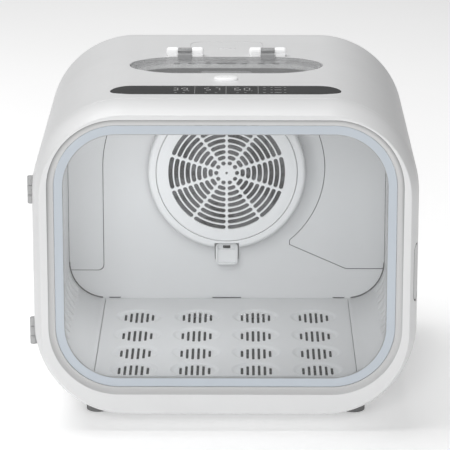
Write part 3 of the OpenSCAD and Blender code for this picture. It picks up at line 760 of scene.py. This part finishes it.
def shell_parts():
    """The white shell with all its openings."""
    top = SHELL_HI.z
    over = top + 5 * MM
    shell = cabinet_skin()
    cut(shell, centred_rect(0, 0, 300 * MM, 300 * MM, 10 * MM, 2), level, 0, SHELL_LO.z)
    btn_lo, btn_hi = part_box("lid_button")
    for outline in (hatch_oval(0), oval(STRIP_Y, 146.3 * MM, 24.3 * MM, STRIP_XS, 21.3 * MM),
                    pill(0, (btn_lo.y + btn_hi.y) / 2, 32 * MM, 23 * MM)):
        cut(shell, outline, level, top - 20 * MM, over)
    pad_lo, pad_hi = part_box("rear_pad")
    pad = centred_rect(0, (pad_lo.y + pad_hi.y) / 2, 48.8 * MM, 36.8 * MM, 14 * MM)
    cut(shell, pad, level, top - 1.2 * MM, over)
    rear_lo, rear_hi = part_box("rear_panel")
    rear = centred_rect(0, (rear_lo.z + rear_hi.z) / 2, 160 * MM, 140 * MM, 20 * MM)
    cut(shell, rear, facing, SHELL_HI.y - 20 * MM, SHELL_HI.y + 5 * MM)
    for lo, hi in hinge_spans():
        cut_bore(shell, SHELL_LO.y - 0.5 * MM, lo, hi)
        leaf = centred_rect(-BODY_HX, SHELL_LO.y + 8 * MM, 3.5 * MM, 10.2 * MM, 1 * MM, 3)
        cut(shell, leaf, level, lo - 0.2 * MM, hi + 0.2 * MM)
    finish_piece(smooth(shell, 0.5 * MM, 2, 40), "cabinet", "white_shell", "housing_shell")


# ---- hatch ----


def lid_plate():
    """Smoked plate with a rounded rim and a skirt under it."""
    top = SHELL_HI.z
    gap, edge = 0.8 * MM, 1.6 * MM
    under = [(-6.0, 2.4), (-6.0, 7.6), (-5.6, 8.0), (-3.6, 8.0),
             (-3.2, 7.6), (-3.2, 2.6), (-0.5, 2.6), (0, 2.1)]
    rows = [(-gap + g * MM, top - d * MM) for g, d in under]
    rows += [(-gap - edge + u, top - 1.2 * MM + v) for u, v in arc(0, 0, edge, 0, 90, 5)]
    plate = loft("lid_plate", [level(hatch_oval(g), z) for g, z in rows])
    finish_piece(smooth(plate), "lid", "smoked_lid", "hatch_lid")


def lid_arms():
    """The two arms from the lid round its knuckles."""
    top = SHELL_HI.z
    sweep = arc(PIN_Y, PIN_Z, 5 * MM, 205, -62, 18)
    rise = ((9, 0.4), (28, 0.3), (28, 1.4), (16, 2.8), (9, 5.2))
    foot = [(PIN_Y - back * MM, top + up * MM) for back, up in rise]
    for side, x in (("left", -55 * MM), ("right", 55 * MM)):
        arm = prism("lid_arm_" + side, sweep + foot, sideways, x - 9.1 * MM, x + 9.1 * MM)
        finish_piece(smooth(arm, 0.7 * MM, 3, 40), "lid", "smoked_lid", mat=ARM)


def lid_catch():
    """The hollow catch under the lid's front edge."""
    lo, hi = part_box("lid_catch")
    y = (lo.y + hi.y) / 2
    hx, hy, r = hi.x, (hi.y - lo.y) / 2, 6.5 * MM
    wall = [(0, hi.z), (0, lo.z + 0.6 * MM), (-0.6 * MM, lo.z), (-2.4 * MM, lo.z),
            (-3.0 * MM, lo.z + 0.6 * MM), (-3.0 * MM, hi.z - 2 * MM)]
    rings = [level(centred_rect(0, y, hx + g, hy + g, r + g), z) for g, z in wall]
    catch = loft("lid_catch_loop", rings)
    finish_piece(smooth(catch), "lid", "smoked_lid", "lid_catch", mat=HAZE)


def hinge_barrel(flat, dome):
    """One barrel on its post along x, with a flat end and a domed end."""
    top = SHELL_HI.z
    r, round_r = 5.8 * MM, 4 * MM
    turn = 1 if dome > flat else -1
    profile = [(1.6 * MM, flat + turn * 1 * MM), (1.6 * MM, flat), (r - 0.5 * MM, flat),
               (r, flat + turn * 0.5 * MM)]
    for u, v in arc(0, 0, 1, 0, 90, 8):
        profile.append((r - round_r + round_r * u, dome - turn * round_r * (1 - v)))
    profile.append((0, dome))
    barrel = lathe("barrel", profile, (0, PIN_Y, PIN_Z), "x", 48)
    a, b = sorted((flat + turn * 0.3 * MM, dome - turn * 1.6 * MM))
    half = [(5.2, top - 0.2 * MM), (4.6, top + 1.2 * MM), (4.4, PIN_Z)]
    outline = [(PIN_Y - h * MM, z) for h, z in half] + [(PIN_Y + h * MM, z) for h, z in half[::-1]]
    return combine(barrel, prism("post", outline, sideways, a, b), "UNION")


def lid_hinges():
    """White barrels either side of each knuckle: flat towards it, domed away from it."""
    for side, name in ((-1, "left"), (1, "right")):
        ends = ((64.9, 80.0), (45.6, 30.0))
        made = [hinge_barrel(side * flat * MM, side * dome * MM) for flat, dome in ends]
        posts = join("hinge_barrels_" + name, made)
        smooth(posts, 0.25 * MM, 2, 45)
        finish_piece(posts, "cabinet", "white_shell", "lid_hinge_" + name, mat=GLOW_WHITE)


def hatch_collar():
    """Deep collar under the hatch with a rounded lip, seven narrow slots in its back wall and painted
    shade on its lower part.
    """
    z0, z1 = COLLAR_LO.z, COLLAR_HI.z
    profile = [(0.2 * MM, z0), (0.2 * MM, z1 - 0.8 * MM), (1.0 * MM, z1), (3 * MM, z1), (3 * MM, z0)]
    collar = loft("collar_ring", [level(hatch_oval(g), z) for g, z in profile], closed=True)
    for x, run in ((-66, 10), (-46, 10), (0, 26), (-24, 8), (24, 8), (46, 10), (66, 10)):
        outline = pill(x * MM, z1 - 6 * MM, run * MM, 2.2 * MM, 8)
        cut(collar, outline, facing, HATCH_Y + 20 * MM, HATCH_Y + 80 * MM)
    smooth(collar, 0.3 * MM, 2, 45)
    # Painted shade: the collar is near black from about 12 mm under its top downwards, standing in for
    # the shade deep inside it.
    deep = graded("hatch_collar", "Z", (z1 - 13 * MM, z1 - 11.5 * MM),
                  grey(0.03), grey(0.72), (0.38, 0.5), 0.00003)
    finish_piece(collar, "cabinet", "grey_trim", "hatch_collar", mat=deep)


def hatch_button():
    """The hatch's push button: a domed cap on a flange, with a stem down to its spring."""
    lo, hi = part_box("lid_button")
    y = (lo.y + hi.y) / 2
    length, width, edge = 31 * MM, 22 * MM, 1.8 * MM
    under = SHELL_HI.z - 5.4 * MM
    flange = pill(0, y, 37 * MM, 28 * MM)
    rings = [level(flange, under), level(flange, SHELL_HI.z - 3.4 * MM),
             level(pill(0, y, length, width), SHELL_HI.z - 3.2 * MM)]
    for u, v in arc(-edge, hi.z - 2.2 * MM, edge, 0, 75, 6):
        rings.append(level(pill(0, y, length + 2 * u, width + 2 * u), v))
    for inset, drop in ((3.5, 0.22), (6, 0.08), (8.5, 0)):
        less = 2 * inset * MM
        rings.append(level(pill(0, y, length - less, width - less), hi.z - drop * MM))
    button = loft("hatch_button", rings)
    stem = [(0, lo.z - under), (2.4 * MM, lo.z - under), (3 * MM, lo.z + 0.6 * MM - under),
            (3 * MM, 3.4 * MM), (0, 3.4 * MM)]
    combine(button, lathe("stem", stem, (0, y, under), "z", 40), "UNION")
    finish_piece(smooth(button, 0, 2, 40), "lid_release", "white_shell", "lid_button", mat=GLOW_WHITE)


def rear_pad():
    """The flush pad behind the hatch's hinges, with a small raised bar."""
    lo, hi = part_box("rear_pad")
    y = (lo.y + hi.y) / 2
    hx, hy, r = hi.x, (hi.y - lo.y) / 2, 13.7 * MM
    surface = SHELL_HI.z - 0.35 * MM
    chamfer = 0.4 * MM
    side = centred_rect(0, y, hx, hy, r)
    pad = loft("pad", [level(side, lo.z), level(side, surface - 0.3 * MM),
                       level(centred_rect(0, y, hx - chamfer, hy - chamfer, r - chamfer), surface)])
    bar = loft("bar", [
        level(pill(0, y - 6.5 * MM, 24 * MM + 2 * g * MM, 3 * MM + 2 * g * MM, 6), surface + z * MM)
        for g, z in ((0, -0.2), (0, 0.6), (-0.2, 0.85), (-0.7, 0.95))])
    pad = join("flush_pad", [pad, bar])
    finish_piece(smooth(pad), "cabinet", "white_shell", "rear_pad")


# ---- touch strip ----

STRIP_OUTLINE = oval(0, STRIP_HX, 24 * MM, STRIP_XS, 21 * MM)
SEGMENTS = {"0": "abcdef", "3": "abcdg", "5": "acdfg", "6": "acdefg", "7": "abc", "9": "abcdfg"}


def top_at(x):
    """Height of the shell's top at width x: flat, then falling on the corner arc."""
    over = max(0.0, abs(x) - (BODY_HX - BODY_R))
    return BODY_Z1 - BODY_R + math.sqrt(BODY_R * BODY_R - over * over)


def strip_half(x):
    """Half the strip's width at x, by its own outline."""
    upper = sorted(p for p in STRIP_OUTLINE if p[1] >= 0)
    for (x0, y0), (x1, y1) in zip(upper, upper[1:]):
        if x0 <= x <= x1 and x1 > x0:
            return y0 + (y1 - y0) * (x - x0) / (x1 - x0)
    return 0.0


def touch_strip():
    """Dark glossy strip laid into the top, following its curve at both tips."""
    thick = 2.2 * MM
    stations = sorted({round(x, 6) for x, y in STRIP_OUTLINE if y >= 0})
    rows = [-1, -0.985, -0.95, -0.5, 0, 0.5, 0.95, 0.985, 1]
    verts = []
    for x in stations:
        half = strip_half(x)
        for k in rows:
            sink = 0.5 * MM if abs(k) == 1 else 0.12 * MM if abs(k) > 0.98 else 0
            verts.append((x, STRIP_Y + k * half, top_at(x) + 0.05 * MM - sink))
    n = len(rows)
    faces = grid_faces(len(stations), n)
    base = len(verts)
    for x in stations:
        half = strip_half(x)
        verts.append((x, STRIP_Y - half, top_at(x) - thick))
        verts.append((x, STRIP_Y + half, top_at(x) - thick))
    for i in range(len(stations) - 1):
        a, b = i * n, (i + 1) * n
        c, d = base + 2 * i, base + 2 * i + 2
        faces += [(a, b, d, c), (a + n - 1, c + 1, d + 1, b + n - 1), (c, d, d + 1, c + 1)]
    strip = mesh_object("touch_strip", verts, faces)
    finish_piece(smooth(strip, 0, 2, 50), "cabinet", "display_glass", "display_lens")


def mark(points):
    """A thin printed shape on the strip."""
    z = BODY_Z1 + 0.08 * MM
    return loft("mark", [level(points, z - 0.02 * MM), level(points, z + 0.03 * MM)])


def digit(symbol, x, y, w, h, t):
    """One seven-segment figure, drawn from bars with pointed ends."""
    bars = {"a": (0, h / 2, 0), "g": (0, 0, 0), "d": (0, -h / 2, 0), "f": (-w / 2, h / 4, 1),
            "b": (w / 2, h / 4, 1), "e": (-w / 2, -h / 4, 1), "c": (w / 2, -h / 4, 1)}
    made = []
    for key in SEGMENTS[symbol]:
        bx, by, upright = bars[key]
        run = (h / 2 if upright else w) / 2 - t * 0.62
        shape = [(-run, 0), (-run + t / 2, -t / 2), (run - t / 2, -t / 2), (run, 0),
                 (run - t / 2, t / 2), (-run + t / 2, t / 2)]
        if upright:
            shape = [(-v, u) for u, v in shape]
        made.append(mark([(x + bx + u, y + by + v) for u, v in shape]))
    return made


def strip_marks():
    """Generic readings, dividers and small symbols."""
    made = []
    thin = 0.25 * MM
    for x in (-39 * MM, 0.5 * MM, 41 * MM):
        made.append(mark([(x - thin, STRIP_Y - 21 * MM), (x + thin, STRIP_Y - 21 * MM),
                          (x + thin, STRIP_Y + 20 * MM), (x - thin, STRIP_Y + 20 * MM)]))
    for text, x in (("39", -58), ("57", -17), ("60", 21)):
        for i, symbol in enumerate(text):
            made += digit(symbol, (x - 6 + 12 * i) * MM, STRIP_Y + 4.5 * MM, 6.5 * MM, 15 * MM, 1.7 * MM)
    for x in (-63, -53, -25, -12, 15, 25):
        made.append(mark(pill(x * MM, STRIP_Y - 15 * MM, 3.2 * MM, 1.2 * MM, 4)))
    for x, w in ((49, 4), (58, 3), (66, 9), (75, 3)):
        for y in (15, 1, -14):
            made.append(mark(pill(x * MM, STRIP_Y + y * MM, w * MM, 1.4 * MM, 4)))
    for x in (-47, 33):
        made.append(mark(arc(x * MM, STRIP_Y - 4 * MM, 0.9 * MM, 0, 330, 11)))
    symbols = join("strip_symbols", made)
    finish_piece(symbols, "cabinet", "display_glass", mat=MARK)


# ---- chamber ----


def vent_centres():
    """Centres of the sixteen round dimples in the floor panel."""
    return [(x * MM, y * MM) for x in (-119.2, -39.75, 39.75, 119.2) for y in (-163, -92, -17, 64)]


def dimple_depth(x, y):
    """Depth of the soft round dimples at a point of the panel."""
    radius, blend, deep = 31 * MM, 3.2 * MM, 2.0 * MM
    for cx, cy in vent_centres():
        d = math.hypot(x - cx, y - cy - 1 * MM)
        if d < radius:
            t = min(1.0, max(0.0, (radius - d) / blend))
            return deep * t * t * (3 - 2 * t)
    return 0.0


def panel_sheet():
    """The floor panel before its slits are cut: grid, skirt and underside."""
    pitch = 2.2 * MM
    x0, x1, y0, y1 = PANEL_LO.x, PANEL_HI.x, PANEL_LO.y, PANEL_HI.y
    nx, ny = round((x1 - x0) / pitch), round((y1 - y0) / pitch)
    verts = []
    for j in range(ny + 1):
        for i in range(nx + 1):
            x, y = x0 + (x1 - x0) * i / nx, y0 + (y1 - y0) * j / ny
            drop = 0.5 * MM if min(i, nx - i, j, ny - j) == 0 else 0.0
            verts.append((x, y, PANEL_HI.z - dimple_depth(x, y) - drop))
    w = nx + 1
    faces = grid_faces(ny + 1, w)
    rim = list(range(w)) + [j * w + nx for j in range(1, ny + 1)]
    rim += [ny * w + i for i in range(nx - 1, -1, -1)] + [j * w for j in range(ny - 1, 0, -1)]
    loops = [rim]
    for inset, z in ((0, PANEL_LO.z), (3 * MM, PANEL_LO.z), (3 * MM, PANEL_HI.z - 2.7 * MM)):
        loops.append(list(range(len(verts), len(verts) + len(rim))))
        for k in rim:
            x = min(max(verts[k][0], x0 + inset), x1 - inset)
            y = min(max(verts[k][1], y0 + inset), y1 - inset)
            verts.append((x, y, z))
    for upper, lower in zip(loops, loops[1:]):
        for k in range(len(rim)):
            m = (k + 1) % len(rim)
            faces.append((upper[k], lower[k], lower[m], upper[m]))
    faces.append(tuple(loops[-1]))
    return mesh_object("vented_panel", verts, faces)


def floor_panel():
    """Vented panel: one moulded sheet with six slits in each dimple and a notch at the back."""
    panel = panel_sheet()
    under, over = PANEL_LO.z - 2 * MM, PANEL_HI.z + 2 * MM
    slits = []
    for cx, cy in vent_centres():
        for i in range(6):
            k = i - 2.5
            bar = pill(0, 0, (48 - 3.3 * k * k) * MM, 3.4 * MM, 5)
            slit = [(cx + k * 7.4 * MM - v, cy + u) for u, v in bar]
            slits.append(prism("slit", slit, level, under, over))
    slits.append(prism("notch", pill(0, PANEL_HI.y, 50 * MM, 5 * MM), level, under, over))
    combine(panel, join("slits", slits))
    finish_piece(smooth(panel, 0, 2, 40), "floor", "pale_liner", "floor_panel")


def slot_outline(radius, width, start, end):
    """An arc-shaped slot with round ends, in degrees about the fan's axis."""
    r = width / 2
    steps = max(3, int((end - start) / 3))

    def cap(at, first):
        cx, cy = radius * math.cos(math.radians(at)), radius * math.sin(math.radians(at))
        return [(cx + u, cy + v) for u, v in arc(0, 0, r, first, first + 180, 6)[1:-1]]

    return (arc(0, 0, radius + r, start, end, steps) + cap(end, end)
            + arc(0, 0, radius - r, start, end, steps)[::-1] + cap(start, start + 180))


def cover_cuts(y0):
    """The cover's centre hole and its nine rings of ten slots."""
    pitch = 36
    web, slot_w, eye_r = 1.3 * MM, 5.9 * MM, 1.8 * MM
    cuts = [lathe("eye", [(0, -4 * MM), (eye_r, -4 * MM), (eye_r, 8 * MM), (0, 8 * MM)],
                  (0, y0, FAN_Z), "y", 20)]
    for k in range(9):
        radius = (14.2 + k * 7.888) * MM
        reach = math.degrees(math.asin((web + 2.9 * MM) / radius))
        for spoke in range(10):
            a = 90 + pitch * spoke
            if pitch - 2 * reach < 1.0:
                mid = math.radians(a + pitch / 2)
                hole = arc(radius * math.cos(mid), radius * math.sin(mid), 2.7 * MM, 0, 345, 15)
            else:
                hole = slot_outline(radius, slot_w, a + reach, a + pitch - reach)
            slot = [(x, FAN_Z + z) for x, z in hole]
            cuts.append(prism("slot", slot, facing, y0 - 3 * MM, y0 + 7 * MM))
    return join("slots", cuts)


def filter_cover():
    """Slotted disc in a ring with a softly turned rim, notched below for the latch."""
    y0 = GRILLE_LO.y
    r = GRILLE_R
    thick = 3.4 * MM
    disc = lathe("grille", [(0, thick), (r, thick), (r, 0.9 * MM), (r - 0.9 * MM, 0), (0, 0)],
                 (0, y0, FAN_Z), "y", 144)
    combine(disc, cover_cuts(y0))
    finish_piece(smooth(disc, 0.35 * MM, 2, 40), "filter", "white_shell", "cover_grille")

    lo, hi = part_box("cover_ring")
    big, depth, turn_r = hi.x, hi.y - lo.y, 5 * MM
    profile = [(r + 0.6 * MM, thick), (r + 0.6 * MM, 0.8 * MM),
               (r + 0.8 * MM, 0.2 * MM), (r + 1.3 * MM, 0)]
    profile += arc(big - turn_r, turn_r, turn_r, -90, 0, 12)
    profile += [(big, depth - 0.5 * MM), (big - 0.5 * MM, depth), (big - 3 * MM, depth),
                (big - 3 * MM, 6 * MM), (big - 6 * MM, thick)]
    ring = lathe("cover_rim", profile, (0, lo.y, FAN_Z), "y", 144, closed=True)
    notch = centred_rect(0, FAN_Z - big, 17.2 * MM, 8.4 * MM, 1.2 * MM)
    cut(ring, notch, facing, lo.y - 5 * MM, hi.y + 5 * MM)
    finish_piece(smooth(ring, 0.4 * MM, 2, 40), "filter", "white_shell", "cover_ring")


def latch_hole(hx, hz, r, drop=7.5 * MM):
    """A rounded rectangle that far below the latch tab's top edge."""
    return centred_rect(0, LATCH_HI.z - drop, hx, hz, r, 3)


def latch_tab():
    """Square tab under the cover: a raised frame, a sunk centre and a finger slot, with painted shade in
    the slot and round the tab's outline.
    """
    y0, y1 = LATCH_LO.y, LATCH_HI.y
    hx, hz, r = LATCH_HI.x, (LATCH_HI.z - LATCH_LO.z) / 2, 6 * MM
    rows = [(0, y1), (0, y0 + 1.6 * MM), (-0.5 * MM, y0 + 0.5 * MM), (-1.6 * MM, y0),
            (-2.7 * MM, y0), (-3.0 * MM, y0 + 0.3 * MM), (-3.1 * MM, y0 + 3.0 * MM)]
    rings = [facing(centred_rect(0, LATCH_Z, hx + g, hz + g, r + g), y) for g, y in rows]
    tab = loft("latch_tab", rings)
    cut(tab, latch_hole(5.2 * MM, 2.2 * MM, 0.8 * MM), facing, y0 - 2 * MM, y0 + 9 * MM)
    cut(tab, latch_hole(11.9 * MM, 4.4 * MM, 0.8 * MM, 6.2 * MM), facing, y0 - 1 * MM, y0 + 5.0 * MM)
    finish_piece(smooth(tab, 0.25 * MM, 2, 40), "filter_catch", "white_shell", "filter_latch")

    # Painted shade: a near black plate closes the finger slot, standing in for the shade inside it.
    rows = [(0, y0 + 6 * MM), (0, y0 + 5.4 * MM), (-0.3 * MM, y0 + 5.1 * MM)]
    well = loft("latch_slot", [
        facing(latch_hole(5.1 * MM + g, 2.1 * MM + g, 0.7 * MM + g), y) for g, y in rows])
    finish_piece(smooth(well), "filter_catch", "dark_plastic", mat=SLOT_SHADE)

    # Painted shade: a thin dark ring just outside the tab's outline, standing in for the shadow round it.
    edge = loft("latch_shade_edge", [
        facing(centred_rect(0, LATCH_Z, hx + g * MM, hz + g * MM, (6 + g) * MM), y1 - d * MM)
        for g, d in ((-0.3, 0), (-0.3, 0.7), (0.9, 0.7), (1.0, 0))], closed=True)
    finish_piece(smooth(edge), "filter_catch", "dark_plastic", mat=SHADE_LINE)


def corner_seals():
    """Thin dark strips of painted shade in the gaps where the back wall meets the ducts and the floor."""
    lo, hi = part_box("back_wall")
    liner, low_r = 2.5 * MM, 52 * MM
    cx, cz = hi.x - liner - low_r, lo.z + liner + low_r
    floor = cz - low_r
    line = arc(0, 0, low_r - 0.05 * MM, 0, 84, 24) + arc(0, 0, low_r - 1.5 * MM, 84, 0, 24)
    outer = [(149, 0.2), (164, 0.2), (165, 1.4), (148, 1.5)]
    middle = [(-20, 0.2), (20, 0.2), (20, 1.4), (-20, 1.4)]

    def dash(shape, side):
        points = [(side * u * MM, floor + v * MM) for u, v in shape]
        return prism("dash", points, facing, lo.y - 0.9 * MM, lo.y)

    made = []
    for side in (-1, 1):
        curve = [(side * (cx + u), cz - v) for u, v in line]
        made += [prism("seal", curve, facing, lo.y - 1.2 * MM, lo.y), dash(outer, side)]
    seals = join("corner_seals", made + [dash(middle, 1)])
    finish_piece(smooth(seals), "cabinet", "silicone", mat=SHADE_LINE)


# ---- feet and screws ----


def feet():
    """Four rubber feet, cut to the cabinet's underside."""
    tread = 1.4 * MM
    for name in ("foot_front_left", "foot_front_right", "foot_rear_left", "foot_rear_right"):
        lo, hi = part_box(name)
        x, y = (lo.x + hi.x) / 2, (lo.y + hi.y) / 2
        r = (hi.x - lo.x) / 2
        profile = [(0, 0), (r - 6 * MM, 0), (r - 5 * MM, 0.8 * MM), (r - 3.5 * MM, 0.8 * MM),
                   (r - 2.6 * MM, 0)]
        profile += arc(r - tread, tread, tread, -90, 0, 5)
        profile += [(r, hi.z - BODY_Z0), (r - 1 * MM, hi.z - 1 * MM), (0, hi.z - 1 * MM)]
        foot = lathe(name + "_pad", profile, (x, y, 0), "z", 64)
        body = soft_rect(BODY_HX, BODY_Z0, BODY_Z1, BODY_R)
        cut(foot, body, facing, y - 30 * MM, y + 30 * MM)
        finish_piece(smooth(foot, 0, 2, 40), "cabinet", "foot_rubber", name)


def screws():
    """Six pan-head screws with crossed slots in the rear panel."""
    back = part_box("case_screws")[1].y
    shank_r, head_r, long, thin = 1.6 * MM, 3 * MM, 1.7 * MM, 0.3 * MM
    head = [(0, -12 * MM), (shank_r, -12 * MM), (shank_r, 0), (head_r, 0), (head_r, 0.5 * MM)]
    head += [(2.2 * MM + u, 0.5 * MM + v * 0.875) for u, v in arc(0, 0, 0.8 * MM, 0, 90, 4)][1:]
    head.append((0, 1.2 * MM))
    made = []
    for x in (-165 * MM, 165 * MM):
        for z in (110 * MM, 220 * MM, 330 * MM):
            screw = lathe("screw", head, (x, back - 1.2 * MM, z), "y", 32)
            for hx, hz in ((long, thin), (thin, long)):
                slot = centred_rect(x, z, hx, hz, 0.1 * MM, 1)
                cut(screw, slot, facing, back - 0.8 * MM, back + 1 * MM)
            made.append(screw)
    group = join("panel_screws", made)
    finish_piece(smooth(group, 0, 2, 35), "cabinet", "steel", "case_screws")


# ---- camera and light ----


def camera():
    """The long lens solved from the photo."""
    pitch, yaw = math.radians(15.7), math.radians(0.31)
    data = bpy.data.cameras.new("camera")
    data.lens = 223.6
    data.sensor_width = 36
    data.clip_end = 50
    cam = new_object("camera", data)
    cam.location = (0.0178, -3.5915, 1.2158)
    cam.rotation_euler = (math.radians(90) - pitch, 0, yaw)
    bpy.context.scene.camera = cam


def area_light(name, place, target, size, power):
    """A round lamp, in metres and watts, turned to the target."""
    data = bpy.data.lights.new(name, "AREA")
    data.shape = "DISK"
    data.size = size
    data.energy = power
    lamp = new_object(name, data)
    lamp.location = place
    lamp.rotation_euler = (Vector(target) - Vector(place)).to_track_quat("-Z", "Y").to_euler()
    return lamp


def studio_floor():
    """A wide white floor that glows a little."""
    half = 8
    corners = [(-half, -half, 0), (half, -half, 0), (half, half, 0), (-half, half, 0)]
    floor = mesh_object("studio_floor", corners, [(0, 1, 2, 3)])
    paint = Paint("floor_paper", Specular_IOR_Level=0.1,
                  Emission_Color=(1, 1, 1, 1), Emission_Strength=0.25)
    paint.colour(paint.noise(1.5, 2), grey(0.93), grey(0.95))
    paint.roughness(paint.noise(30, 2), 0.8, 0.9)
    floor.data.materials.append(paint.mat)


def studio():
    """White surroundings, two large lamps and two small ones in the chamber."""
    world = bpy.data.worlds.new("studio")
    world.use_nodes = True
    sky = world.node_tree.nodes["Background"]
    sky.inputs["Color"].default_value = (1, 1, 1, 1)
    sky.inputs["Strength"].default_value = 0.22
    bpy.context.scene.world = world
    bpy.context.scene.view_settings.view_transform = "Standard"
    front = area_light("front", (-0.25, -3.4, 1.3), (0, 0, 0.2), 1.2, 45)
    front.visible_glossy = False
    area_light("top", (-0.9, 0.4, 3.4), (0, 0.1, 0), 3.2, 92)
    for lamp in (area_light("chamber_left", (-0.08, -0.14, 0.3), (-0.08, 0.2, 0.1), 0.16, 0.27),
                 area_light("chamber_top", (-0.09, -0.12, 0.388), (-0.1, -0.1, 0), 0.2, 0.16)):
        lamp.visible_camera = False
        lamp.visible_glossy = False
    studio_floor()


camera()
studio()
dress_cad_nodes()
door_frame()
window_parts()
door_button()
shell_parts()
lid_plate()
lid_arms()
lid_catch()
lid_hinges()
hatch_collar()
hatch_button()
rear_pad()
touch_strip()
strip_marks()
floor_panel()
filter_cover()
latch_tab()
corner_seals()
feet()
screws()
